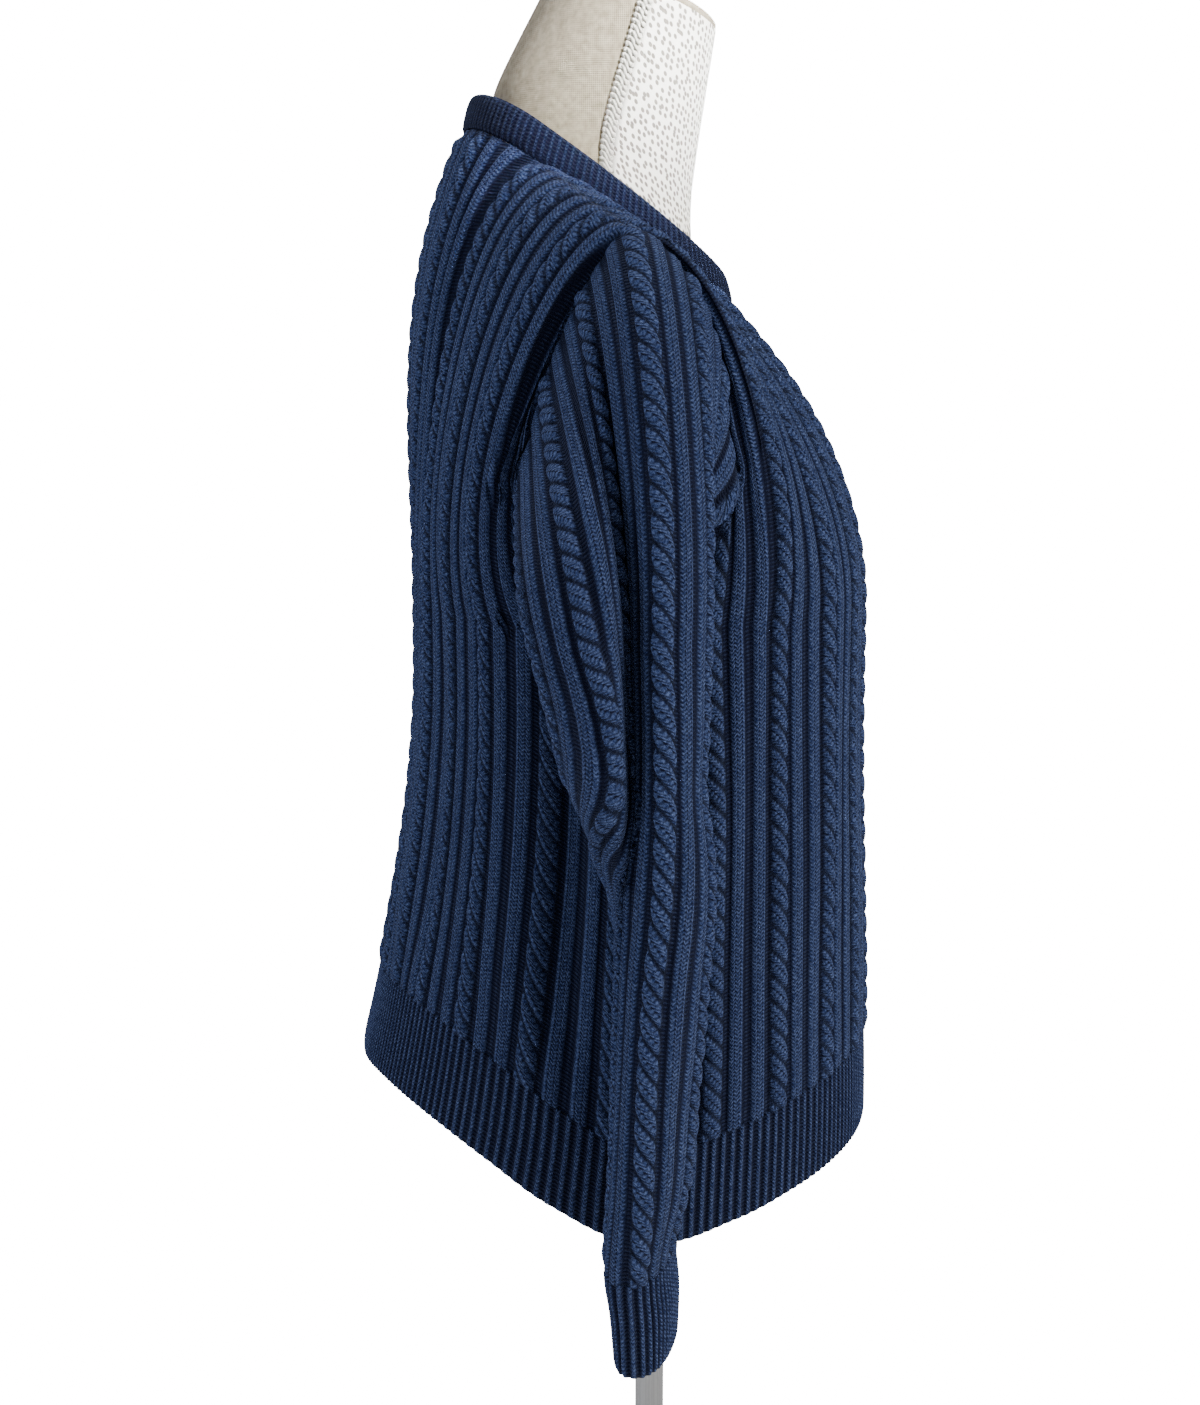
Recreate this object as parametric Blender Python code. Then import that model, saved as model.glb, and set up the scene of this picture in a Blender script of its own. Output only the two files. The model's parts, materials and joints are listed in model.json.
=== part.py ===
# A cable-knit crew-neck sweater worn by a limbless dress form on a pole and a round base.
# Metres, +Z up. The front faces -Y and the wearer's right side is at -X. Each piece of cloth is a
# wall: its outer points carry the cables and ribs, and its inside is plain.
import math

import bmesh
import bpy
import numpy as np

OBJECT_NAME = "aran_sweater"

# Cloth
WALL = 0.002
SEAM_GAP = 0.0003
SEAM_FADE = 0.008

# Knit pattern of the body and the sleeves
REPEAT = 0.0385
CABLE_CROSSING = 0.0126
CABLE_HEIGHT = 0.0036
CABLE_WANDER = 0.0013
RIB_HEIGHT = 0.0020
RIB_AT = 0.0130
GUTTER_AT = 0.0078
PATTERN_MARGIN = 0.003
LEAST_SPACING = 0.0022
TOP_RELIEF = 0.15
LOW_RELIEF = 0.30

# Ribbed bands
BAND_HEIGHT = 0.052
HEM_PITCH = 0.0062
CUFF_PITCH = 0.0052
NECK_PITCH = 0.0090
BAND_RELIEF = 0.0011
NECKBAND_HEIGHT = 0.019
NECKBAND_GAP = 0.0012
NECKBAND_RISE = 0.55
NECKBAND_UPRIGHT = 0.75
NECKBAND_LEAN_IN = 0.10

# Section of the neckband: share of its height, metres out of its middle, and share of the ribs' relief
PROFILE_COLUMNS = ("height", "outwards", "ribbed")
NECKBAND_PROFILE = (
    (0.0, 0.0006, 0.0),
    (0.20, 0.00126, 0.8),
    (0.86, 0.00108, 0.8),
    (1.0, -0.00108, 0.24),
    (0.86, -0.00288, 0.0),
    (0.0, -0.0024, 0.0),
)

# Torso cloth up to the chest: horizontal sections. The wales are spread by the girth at one of them.
SQUARENESS = 2.4
CHEST_Z = 0.640
GIRTH_Z = 0.600
BODY_COLUMNS = ("z", "half_width", "front", "back", "seam")
BODY_SECTIONS = (
    (0.280, 0.187, -0.1325, 0.1860, 0.016),
    (0.330, 0.187, -0.1325, 0.1780, 0.014),
    (0.370, 0.187, -0.1321, 0.1662, 0.012),
    (0.455, 0.186, -0.1288, 0.1480, 0.010),
    (0.520, 0.185, -0.1271, 0.1375, 0.009),
    (0.580, 0.184, -0.1262, 0.1322, 0.010),
    (0.640, 0.183, -0.1266, 0.1315, 0.012),
    (0.680, 0.183, -0.1268, 0.1314, 0.014),
)

# Lower edge of the hem, by the angle round the torso from centre front to centre back
HEM_COLUMNS = ("angle", "z")
HEM_LINE = (
    (0, 0.341),
    (38, 0.338),
    (60, 0.329),
    (75, 0.3185),
    (90, 0.3095),
    (104, 0.3295),
    (118, 0.351),
    (135, 0.367),
    (155, 0.3735),
    (180, 0.3665),
)

# Neckline: an egg in a plane that rises towards the back
NECK_FRONT_Y = -0.0535
NECK_FRONT_Z = 0.809
NECK_BACK_Y = 0.1015
NECK_SLOPE = 0.640
NECK_SIDE_AT = 0.749
NECK_HALF_WIDTH = 0.079
NECK_ROUNDNESS = 2.2
NECK_TURN_AT = 0.55
NECK_FACE_UP = 0.35
NECK_SIDE_UP = 0.25

# Shoulder tip, and the armhole loop from it round the front, underarm and back
ARMHOLE_COLUMNS = ("x", "y", "z")
ARMHOLE = (
    (-0.195, 0.025, 0.839),
    (-0.190, 0.004, 0.827),
    (-0.183, -0.017, 0.795),
    (-0.178, -0.027, 0.745),
    (-0.178, -0.028, 0.708),
    (-0.190, 0.020, 0.672),
    (-0.172, 0.076, 0.705),
    (-0.170, 0.073, 0.740),
    (-0.175, 0.060, 0.783),
    (-0.187, 0.041, 0.821),
)
ARM_PLATE_CENTRE = (0.025, 0.755)
ALONG_STEP = 0.002

# Outward direction of the cloth along the armhole, half way between the panel's face and the
# sleeve's: place 0 at the tip, positive round the front to the underarm, negative round the back
FACE_COLUMNS = ("place", "x", "y", "z")
ARMHOLE_FACE = (
    (-0.50, -0.15, 0.00, -0.98),
    (-0.45, -0.15, 0.40, -0.90),
    (-0.41, -0.20, 0.60, -0.78),
    (-0.36, -0.25, 0.78, -0.57),
    (-0.31, -0.37, 0.92, 0.05),
    (-0.25, -0.40, 0.90, 0.20),
    (-0.17, -0.40, 0.87, 0.30),
    (-0.10, -0.42, 0.78, 0.45),
    (-0.05, -0.40, 0.50, 0.76),
    (0.00, -0.36, 0.00, 0.93),
    (0.06, -0.45, -0.62, 0.64),
    (0.12, -0.46, -0.79, 0.42),
    (0.20, -0.50, -0.86, 0.10),
    (0.28, -0.66, -0.74, 0.00),
    (0.34, -0.60, -0.72, -0.35),
    (0.40, -0.35, -0.60, -0.72),
    (0.46, -0.20, -0.30, -0.93),
    (0.50, -0.15, 0.00, -0.98),
)

# Where the panels' top edges turn: half widths in the flat cloth at the neck and shoulder tip
FRONT_NECK_WIDTH = 0.086
FRONT_TIP_WIDTH = 0.200
BACK_NECK_WIDTH = 0.072
BACK_TIP_WIDTH = 0.170
SHOULDER_FACE = (-0.36, 0.0, 0.93)
ARMHOLE_SPREAD = 0.6
ARMHOLE_MARGIN = 0.09
MARGIN_SOFTNESS = 0.001
MARGIN_FADES = {"low": 0.02, "climb": 0.008, "top": 0.012}
ARMHOLE_EXTRA = (0.0014, 0.0036, 0.0085)

# How the cloth reaches its top edge, by place along that edge: 0 centre, 1 side neck, 2 shoulder
# tip, 3 underarm. Arrival direction, how hard it pulls, and the lean of the wale above the chest.
EDGE_COLUMNS = ("place", "x", "y", "z", "pull", "lean", "chest_pull")
FRONT_EDGE = (
    (0.0, 0.0, 0.60, 0.80, 0.55, 0.00, 1.45),
    (0.5, 0.0, 0.62, 0.78, 0.50, 0.00, 1.45),
    (1.0, 0.0, 0.88, 0.47, 0.5, 0.00, 1.25),
    (1.5, 0.0, 0.93, 0.36, 0.6, -0.04, 1.1),
    (2.0, -0.05, 0.98, 0.18, 0.8, -0.16, 1.0),
    (2.2, -0.18, 0.60, 0.78, 0.6, -0.12, 1.0),
    (2.5, -0.12, 0.25, 0.96, 0.5, -0.18, 1.0),
    (2.6, -0.15, 0.15, 0.97, 0.5, -0.16, 1.0),
    (2.8, -0.25, 0.00, 0.97, 0.5, 0.00, 1.0),
    (3.0, -0.50, 0.00, 0.85, 0.5, 0.00, 1.0),
)
BACK_EDGE = (
    (0.0, 0.0, -0.42, 0.91, 1.15, 0.00, 1.0),
    (0.5, 0.0, -0.44, 0.90, 1.15, 0.00, 1.0),
    (0.8, 0.0, -0.62, 0.78, 0.85, 0.00, 1.0),
    (1.0, 0.0, -0.90, 0.30, 0.6, 0.02, 1.0),
    (1.5, 0.0, -0.95, 0.05, 0.55, 0.16, 1.0),
    (2.0, -0.05, -0.98, -0.05, 0.5, 0.36, 1.0),
    (2.2, -0.30, -0.60, 0.75, 0.5, 0.44, 1.0),
    (2.5, -0.15, -0.50, 0.85, 0.6, 0.72, 1.0),
    (2.65, -0.18, -0.30, 0.93, 0.5, 0.50, 1.0),
    (2.8, -0.25, 0.00, 0.97, 0.5, 0.10, 1.0),
    (3.0, -0.50, 0.00, 0.85, 0.5, 0.00, 1.0),
)

# Sleeve and cuff: horizontal sections, with the place of the centre cable and the long crease
BICEP_Z = 0.640
SLEEVE_COLUMNS = ("z", "inner", "outer", "front", "back", "cable", "crease", "crease_depth", "skew")
SLEEVE_SECTIONS = (
    (0.640, -0.200, -0.276, -0.0075, 0.0774, 0.0173, 0.0310, 0.0064, 0.00),
    (0.598, -0.200, -0.280, -0.0060, 0.0658, 0.0165, 0.0305, 0.0060, 0.00),
    (0.566, -0.200, -0.283, -0.0045, 0.0579, 0.0165, 0.0305, 0.0048, 0.00),
    (0.537, -0.200, -0.284, -0.0083, 0.0462, 0.0172, 0.0315, 0.0026, 0.00),
    (0.510, -0.200, -0.285, -0.0100, 0.0372, 0.0190, 0.0335, 0.0008, 0.03),
    (0.480, -0.200, -0.286, -0.0098, 0.0364, 0.0222, 0.0340, 0.000, 0.08),
    (0.445, -0.201, -0.286, -0.0090, 0.0375, 0.0245, 0.0340, 0.000, 0.13),
    (0.410, -0.201, -0.285, -0.0072, 0.0388, 0.0258, 0.0340, 0.000, 0.18),
    (0.372, -0.202, -0.284, -0.0052, 0.0405, 0.0268, 0.0340, 0.000, 0.22),
    (0.341, -0.204, -0.282, 0.0020, 0.0425, 0.0280, 0.0340, 0.000, 0.26),
    (0.326, -0.206, -0.279, 0.0040, 0.0430, 0.0285, 0.0340, 0.000, 0.28),
    (0.305, -0.208, -0.277, 0.0025, 0.0400, 0.0270, 0.0340, 0.000, 0.28),
    (0.275, -0.209, -0.276, 0.0035, 0.0372, 0.0260, 0.0340, 0.000, 0.28),
)
CUFF_TOP_Z = 0.3265
CUFF_LOW_Z = 0.2775
CREASE_WIDTH = 0.012
SLEEVE_SQUARENESS = 2.3
SLEEVE_CAP_EASE = 0.72
CAP_ARRIVE_LOW = (0.55, 0.85)
CAP_ARRIVE_TOP = (0.95, 0.35)
SLEEVE_MARGIN = 0.006
RING_SAMPLES = 720
SLEEVE_SET_OUT = 0.0011
PANEL_SET_BACK = 0.0010
SLEEVE_FAN = (0.25, 0.5, 0.75)
SLEEVE_FAN_KINDS = ("rib", "gutter", "rib")

# Dress form: clearance under the cloth at the shoulder and at the chest, its lower end and neck
FORM_CLEARANCE = 0.0065
FORM_ARM_CLEARANCE = 0.017
FORM_CHEST_CLEARANCE = 0.011
FORM_FADE = 0.16
FORM_ARM_FROM = 0.45
FORM_ROWS = np.array((0.0, 0.14, 0.28, 0.42, 0.56, 0.70, 0.84, 1.0))
FORM_EDGE_FROM = 0.35
FORM_PIECES = (5, 4, 5)
FORM_RINGS = ((0.590, 0.94), (0.540, 0.90), (0.500, 0.86), (0.484, 0.80))
NECK_COLUMNS = ("front_y", "front_z", "back_y", "back_z", "half_width")
NECK_RINGS = (
    (-0.0300, 0.838, 0.0890, 0.912, 0.0640),
    (-0.0290, 0.864, 0.0860, 0.926, 0.0590),
    (-0.0320, 0.895, 0.0785, 0.945, 0.0555),
    (-0.0430, 0.966, 0.0500, 0.999, 0.0500),
)
CAP_PROFILE = ((0.0, 1.0), (0.003, 1.0), (0.004, 0.95))
ARM_PLATE_X = 0.158
ARM_PLATE_TOP = 0.800
ARM_PLATE_FADE = 0.045
ARM_PLATE_HOLLOW = 0.002
TIP_REACH = 0.176
CHEST_BLEND = 0.03

# Stand
POLE_RADIUS = 0.009
POLE_PLACE = (0.0, -0.0085)
BASE_RADIUS = 0.135
BASE_THICKNESS = 0.014
COLLAR_RADIUS = 0.022
COLLAR_HEIGHT = 0.030

# Shares of a wale's length where its outside and its inside have points
PANEL_ROWS = np.array((0.0, 0.16, 0.36, 0.51, 0.60, 0.68, 0.75, 0.81, 0.865, 0.915, 0.96, 1.0))
PANEL_INNER_ROWS = np.array((0.02, 0.26, 0.48, 0.61, 0.70, 0.78, 0.85, 0.91, 0.97))
SLEEVE_ROWS = np.array((0.0, 0.10, 0.24, 0.38, 0.50, 0.58, 0.65, 0.72, 0.79, 0.86, 0.93, 1.0))
SLEEVE_INNER_ROWS = np.array((0.02, 0.24, 0.38, 0.50, 0.58, 0.65, 0.72, 0.79, 0.86, 0.93, 0.985))
SLEEVE_INNER_TURNS = (-0.7, -0.24, -0.16, -0.08, 0.7)
SLEEVE_CLOSE_FROM = 0.7
INNER_STEPS = 4
PATH_SAMPLES = 36
EDGE_STEP = 0.006
WELD_DISTANCE = 0.00002
SIDES = (("right", 1.0), ("left", -1.0))

COLOURS = {
    "navy_knit": ((0.020, 0.036, 0.098), 0.92, 0.0),
    "navy_rib": ((0.018, 0.032, 0.088), 0.92, 0.0),
    "linen_cloth": ((0.55, 0.48, 0.38), 0.85, 0.0),
    "steel_pole": ((0.55, 0.55, 0.56), 0.35, 1.0),
    "painted_base": ((0.05, 0.05, 0.055), 0.45, 0.0),
}


def clear_scene():
    for item in list(bpy.data.objects):
        bpy.data.objects.remove(item, do_unlink=True)


def make_materials():
    materials = {}
    for name, (colour, roughness, metallic) in COLOURS.items():
        material = bpy.data.materials.new(name)
        material.use_nodes = True
        shader = material.node_tree.nodes["Principled BSDF"]
        shader.inputs["Base Color"].default_value = (*colour, 1.0)
        shader.inputs["Roughness"].default_value = roughness
        shader.inputs["Metallic"].default_value = metallic
        materials[name] = material
    return materials


def table_column(rows, names, name):
    return np.array([row[names.index(name)] for row in rows])


# A smooth curve through a table: each span is a cubic whose end slopes are the mean of the two
# spans that meet there. Beyond the table the end value holds.
def smooth(at, known, values):
    order = np.argsort(known)
    known = np.asarray(known, float)[order]
    values = np.asarray(values, float)[order]
    span_slope = np.diff(values) / np.diff(known)
    slope = np.concatenate([span_slope[:1], (span_slope[1:] + span_slope[:-1]) / 2, span_slope[-1:]])
    at = np.clip(at, known[0], known[-1])
    span = np.clip(np.searchsorted(known, at, side="right") - 1, 0, len(known) - 2)
    width = known[span + 1] - known[span]
    part = (at - known[span]) / width
    rise = values[span + 1] - values[span]
    near = part * (1 - part) ** 2 * width * slope[span]
    far = -part**2 * (1 - part) * width * slope[span + 1]
    return values[span] + rise * part**2 * (3 - 2 * part) + near + far


def smooth_step(value):
    value = np.clip(value, 0.0, 1.0)
    return value * value * (3 - 2 * value)


def unit(vectors):
    return vectors / np.linalg.norm(vectors, axis=-1, keepdims=True)


def cumulative_length(points):
    steps = np.linalg.norm(np.diff(points, axis=-2), axis=-1)
    start = np.zeros(steps.shape[:-1] + (1,))
    return np.concatenate([start, np.cumsum(steps, axis=-1)], axis=-1)


# Torso section: a rounded rectangle, |x|^p + |y|^p = 1 scaled to the table's sizes. The angle runs
# from 0 at centre front through 90 degrees at the side seam to 180 degrees at centre back.
def body_section(angle, z):
    heights = table_column(BODY_SECTIONS, BODY_COLUMNS, "z")
    sizes = {
        name: smooth(z, heights, table_column(BODY_SECTIONS, BODY_COLUMNS, name))
        for name in BODY_COLUMNS[1:]
    }
    power = 2.0 / SQUARENESS
    across = np.abs(np.sin(angle)) ** power
    along = np.abs(np.cos(angle)) ** power
    depth = np.where(np.cos(angle) > 0, sizes["front"] - sizes["seam"], sizes["back"] - sizes["seam"])
    x = -sizes["half_width"] * across
    return np.stack(np.broadcast_arrays(x, sizes["seam"] + depth * along, z), axis=-1)


# Angle at a distance along the chest section, measured from centre front or centre back
def make_width_map(from_back):
    angles = np.linspace(0.0, math.pi / 2, 1500)
    turned = math.pi - angles if from_back else angles
    lengths = cumulative_length(body_section(turned, GIRTH_Z))
    return lengths, turned


def armhole_point(place):
    points = np.array(ARMHOLE + ARMHOLE[:1])
    wrapped = np.concatenate([points[-4:-1], points, points[1:4]])
    knots = np.arange(len(wrapped)) - 3.0
    dense_at = np.linspace(0.0, len(points) - 1.0, 600)
    dense = np.stack([smooth(dense_at, knots, wrapped[:, axis]) for axis in range(3)], axis=-1)
    lengths = cumulative_length(dense)
    wanted = np.mod(place, 1.0) * lengths[-1]
    return np.stack([np.interp(wanted, lengths, dense[:, axis]) for axis in range(3)], axis=-1)


def armhole_along(place):
    return unit(armhole_point(place + ALONG_STEP) - armhole_point(place - ALONG_STEP))


# Outward direction of the wall along the armhole, square to the seam
def armhole_normal(place):
    stops = table_column(ARMHOLE_FACE, FACE_COLUMNS, "place")
    wrapped = np.mod(np.asarray(place) + 0.5, 1.0) - 0.5
    face = [smooth(wrapped, stops, table_column(ARMHOLE_FACE, FACE_COLUMNS, name)) for name in ("x", "y", "z")]
    face = np.stack(face, axis=-1)
    along = armhole_along(place)
    return unit(face - along * np.sum(along * face, axis=-1, keepdims=True))


# Direction out of the armhole, square to the seam and to the wall: the sleeve's side of the seam
def armhole_outwards(place):
    outwards = unit(np.cross(armhole_along(place), armhole_normal(place)))
    return outwards * np.where(outwards[..., :1] < 0, 1.0, -1.0)


# Neckline point: 0 at centre front, 1 at centre back; the side neck point lies at NECK_SIDE_AT
def neckline_point(place):
    power = 1.0 / NECK_ROUNDNESS
    front_part = (NECK_SIDE_AT - place) / NECK_SIDE_AT
    back_part = (place - NECK_SIDE_AT) / (1.0 - NECK_SIDE_AT)
    part = np.clip(np.where(place < NECK_SIDE_AT, front_part, back_part), 0.0, 1.0)
    x = -NECK_HALF_WIDTH * (1.0 - part**NECK_ROUNDNESS) ** power
    y = NECK_FRONT_Y + (NECK_BACK_Y - NECK_FRONT_Y) * place
    z = NECK_FRONT_Z + NECK_SLOPE * (y - NECK_FRONT_Y)
    return np.stack(np.broadcast_arrays(x, y, z), axis=-1)


# Neckline place for a share of the panel's neck width: the curve's own angle and a plain sine mixed
def neck_place(share, from_back):
    angle = 0.6 * share * math.pi / 2 + 0.4 * np.arcsin(np.clip(share, 0.0, 1.0))
    reach = 1.0 - np.cos(angle) ** (2.0 / NECK_ROUNDNESS)
    if from_back:
        return 1.0 - (1.0 - NECK_SIDE_AT) * reach
    return NECK_SIDE_AT * reach


def neckline_normal(place):
    point = neckline_point(place)
    outward = np.zeros_like(point)
    outward[..., 0] = point[..., 0] / NECK_HALF_WIDTH
    outward[..., 1] = 2.2 * (np.asarray(place) - NECK_TURN_AT)
    outward = unit(outward)
    outward[..., 2] = NECK_FACE_UP + NECK_SIDE_UP * np.abs(point[..., 0]) / NECK_HALF_WIDTH
    return unit(outward)


# Top edge of a panel at a flat distance from its centre: point, direction in which the cloth
# arrives, and outward direction of the wall. It follows the neckline, the shoulder and the armhole.
def panel_edge(width, half_width, from_back):
    neck_width = BACK_NECK_WIDTH if from_back else FRONT_NECK_WIDTH
    tip_width = BACK_TIP_WIDTH if from_back else FRONT_TIP_WIDTH
    neck_share = width / neck_width
    shoulder_share = (width - neck_width) / (tip_width - neck_width)
    arm_share = np.clip((width - tip_width) / (half_width - tip_width), 0.0, 1.0) ** ARMHOLE_SPREAD
    side_point = neckline_point(np.array(NECK_SIDE_AT))
    tip_point = armhole_point(np.array(0.0))
    place = neck_place(np.clip(neck_share, 0.0, 1.0), from_back)
    arm_place = -0.5 * arm_share if from_back else 0.5 * arm_share
    on_shoulder = side_point + (tip_point - side_point) * np.clip(shoulder_share, 0, 1)[..., None]
    side_normal = neckline_normal(np.array(NECK_SIDE_AT))
    tip_normal = armhole_normal(np.array(0.0))
    shoulder_normal = np.array(SHOULDER_FACE)
    middle = np.clip(4.0 * shoulder_share * (1.0 - shoulder_share), 0.0, 1.0) ** 0.5
    line = side_normal + (tip_normal - side_normal) * np.clip(shoulder_share, 0, 1)[..., None]
    along = unit(line + (shoulder_normal - line) * middle[..., None])
    on_neck = (width <= neck_width)[..., None]
    on_arm = (width >= tip_width)[..., None]
    point = np.where(on_neck, neckline_point(place), np.where(on_arm, armhole_point(arm_place), on_shoulder))
    normal = np.where(on_neck, neckline_normal(place), np.where(on_arm, armhole_normal(arm_place), along))
    edge_place = np.where(
        width < neck_width, neck_share, np.where(width < tip_width, 1.0 + shoulder_share, 2.0 + arm_share)
    )
    rows = BACK_EDGE if from_back else FRONT_EDGE
    stops = table_column(rows, EDGE_COLUMNS, "place")
    values = {
        name: np.interp(edge_place, stops, table_column(rows, EDGE_COLUMNS, name))
        for name in EDGE_COLUMNS[1:]
    }
    direction = unit(np.stack([values["x"], values["y"], values["z"]], axis=-1))
    return point, direction * values["pull"][:, None], normal, values["lean"], values["chest_pull"]


# A cubic from a start to an end point that leaves and arrives in the given directions, whose
# lengths say how hard it is pulled that way
def bridge(start, leave, end, arrive, samples):
    part = np.linspace(0.0, 1.0, samples)[None, :, None]
    chord = np.linalg.norm(end - start, axis=-1, keepdims=True)[:, None, :]
    shape_start = (2 * part**3 - 3 * part**2 + 1) * start[:, None, :]
    shape_end = (3 * part**2 - 2 * part**3) * end[:, None, :]
    pull_start = (part**3 - 2 * part**2 + part) * chord * leave[:, None, :]
    pull_end = (part**3 - part**2) * chord * arrive[:, None, :]
    return shape_start + shape_end + pull_start + pull_end


# Outward directions of a grid of points [column, sample]: across the columns and along them
def grid_normals(points, widths):
    across = np.gradient(points, widths, axis=0)
    along = np.gradient(points, axis=1)
    return unit(np.cross(across, along))


# The same for a panel, whose first and last wale face straight sideways, as its neighbour's do
def panel_normals(points, widths, from_back):
    normals = grid_normals(points, widths) * (-1.0 if from_back else 1.0)
    for end in (0, -1):
        along = np.gradient(points[end], axis=0)
        sideways = unit(np.cross(along, np.array((0.0, 1.0, 0.0))))
        outwards = np.sign(points[end, 0, 0]) * np.sign(sideways[:1, :1])
        normals[end] = sideways * outwards
    return normals


def hem_height(angle):
    degrees = np.degrees(np.abs(angle))
    angles = table_column(HEM_LINE, HEM_COLUMNS, "angle")
    return smooth(degrees, angles, table_column(HEM_LINE, HEM_COLUMNS, "z"))


# Moves paths away from the armhole where they would run across it: each stays as far outside the
# loop as a share of the height it still has to climb
def keep_off_armhole(paths, from_back):
    outward = 1.0 if from_back else -1.0
    loop = armhole_point(np.linspace(0.5, 0.0, 200) * -outward)
    loop_y = np.interp(paths[..., 2], loop[:, 2], loop[:, 1])
    climb = np.maximum(paths[:, -1:, 2] - paths[..., 2], 0.0)
    wanted = loop_y * outward + ARMHOLE_MARGIN * climb - paths[..., 1] * outward
    push = (wanted + np.sqrt(wanted**2 + MARGIN_SOFTNESS**2)) / 2
    inside = smooth_step((paths[..., 2] - loop[0, 2]) / MARGIN_FADES["low"])
    inside *= smooth_step(climb / MARGIN_FADES["climb"])
    inside *= smooth_step((loop[-1, 2] - paths[..., 2]) / MARGIN_FADES["top"])
    moved = paths.copy()
    moved[..., 1] += push * inside * outward
    return moved


# Paths of a panel's wales from the hem band to its top edge, at flat distances from its centre.
# The cloth hangs plumb up to the chest and then bends to the point of the edge where it ends.
def panel_paths(widths, from_back):
    lengths, angles = make_width_map(from_back)
    half_width = lengths[-1]
    distance = np.abs(widths)
    angle = np.interp(distance, lengths, angles)
    low = hem_height(angle) + BAND_HEIGHT + SEAM_GAP
    part = np.linspace(0.0, 1.0, PATH_SAMPLES)
    heights = low[:, None] + (CHEST_Z - low)[:, None] * part[None, :]
    lower = body_section(angle[:, None], heights)
    chest = lower[:, -1]
    leave = unit(chest - body_section(angle, np.full_like(angle, CHEST_Z - 0.002)))
    edge, arrive, edge_normal, lean, chest_pull = panel_edge(distance, half_width, from_back)
    leave[:, 1] += lean
    leave *= chest_pull[:, None]
    upper = bridge(chest, leave, edge, arrive, PATH_SAMPLES)
    upper = keep_off_armhole(upper, from_back)
    points = np.concatenate([lower, upper[:, 1:]], axis=1)
    mirror = np.where(widths > 0, -1.0, 1.0)[:, None]
    points[..., 0] *= mirror
    edge_normal[..., 0] *= mirror[:, 0]
    return points, edge_normal, half_width


# Closed ring of the sleeve at a height: a rounded rectangle pressed in along the crease. Points are
# equally far apart, starting at the centre cable and going round by the front.
def sleeve_ring(z):
    heights = table_column(SLEEVE_SECTIONS, SLEEVE_COLUMNS, "z")
    size = {
        name: float(smooth(np.array(z), heights, table_column(SLEEVE_SECTIONS, SLEEVE_COLUMNS, name)))
        for name in SLEEVE_COLUMNS[1:]
    }
    angle = np.linspace(0.0, 2 * math.pi, RING_SAMPLES + 1)
    power = 2.0 / SLEEVE_SQUARENESS
    reach_x = np.sign(np.cos(angle)) * np.abs(np.cos(angle)) ** power
    reach_y = np.sign(np.sin(angle)) * np.abs(np.sin(angle)) ** power
    x = (size["inner"] + size["outer"]) / 2 - (size["inner"] - size["outer"]) / 2 * reach_x
    half_x = (size["inner"] - size["outer"]) / 2
    half_y = (size["back"] - size["front"]) / 2 - 0.5 * size["skew"] * half_x
    y = (size["front"] + size["back"]) / 2 - half_y * reach_y + size["skew"] * half_x * reach_x
    pressed = size["crease_depth"] * np.exp(-(((y - size["crease"]) / CREASE_WIDTH) ** 2))
    x = x + pressed * smooth_step(reach_x)
    ring = np.stack([x, y, np.full_like(x, z)], axis=-1)
    outer_half = np.cos(angle) > 0
    start = int(np.argmin(np.abs(y - size["cable"]) + np.where(outer_half, 0.0, 1.0)))
    ring = np.concatenate([ring[start:-1], ring[: start + 1]])
    lengths = cumulative_length(ring)
    wanted = np.linspace(0.0, lengths[-1], RING_SAMPLES + 1)
    return np.stack([np.interp(wanted, lengths, ring[:, axis]) for axis in range(3)], axis=-1), lengths[-1]


def sleeve_points(shares, z):
    ring = sleeve_ring(z)[0]
    return along_path(ring, np.arange(RING_SAMPLES + 1), np.mod(shares / 2, 1.0) * RING_SAMPLES)


# Paths of the sleeve's wales from the top of the cuff to the bicep. Shares run from -1 to 1 round
# the sleeve, 0 on the centre cable, positive towards the front; both ends are the underarm seam.
def sleeve_paths(low, high):
    heights = np.linspace(low, high, PATH_SAMPLES)
    return np.stack([sleeve_points(sleeve_columns(z)[0], z) for z in heights], axis=1)


# Place on the armhole where a wale of the sleeve ends
def cap_place(shares):
    return (SLEEVE_CAP_EASE * shares + (1.0 - SLEEVE_CAP_EASE) * shares**3) / 2


# Flat distance from a panel's centre at which it meets a place of the armhole
def armhole_width(place, half_width, from_back):
    tip_width = BACK_TIP_WIDTH if from_back else FRONT_TIP_WIDTH
    return tip_width + (half_width - tip_width) * (2 * np.abs(place)) ** (1.0 / ARMHOLE_SPREAD)


def sleeve_cap(shares, lower):
    leave = unit(lower[:, -1] - lower[:, -2])
    place = cap_place(shares)
    loop = armhole_point(place) + armhole_outwards(place) * SLEEVE_SET_OUT
    top_share = (1.0 + np.cos(2 * math.pi * place)) / 2
    inwards = CAP_ARRIVE_LOW[0] + (CAP_ARRIVE_TOP[0] - CAP_ARRIVE_LOW[0]) * top_share
    upwards = CAP_ARRIVE_LOW[1] + (CAP_ARRIVE_TOP[1] - CAP_ARRIVE_LOW[1]) * top_share
    arrive = np.stack([inwards, 0.0 * place, upwards], axis=-1)
    return bridge(lower[:, -1], leave, loop, unit(arrive), PATH_SAMPLES)


def sleeve_normals(grid, shares):
    wrapped = np.concatenate([grid[-1:], grid, grid[:1]])
    wrapped_shares = np.concatenate([shares[-1:] - 2.0, shares, shares[:1] + 2.0])
    normals = grid_normals(wrapped, wrapped_shares)[1:-1]
    centre = grid.mean(axis=0, keepdims=True)
    return normals * np.sign(np.sum(normals * (grid - centre)))


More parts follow.
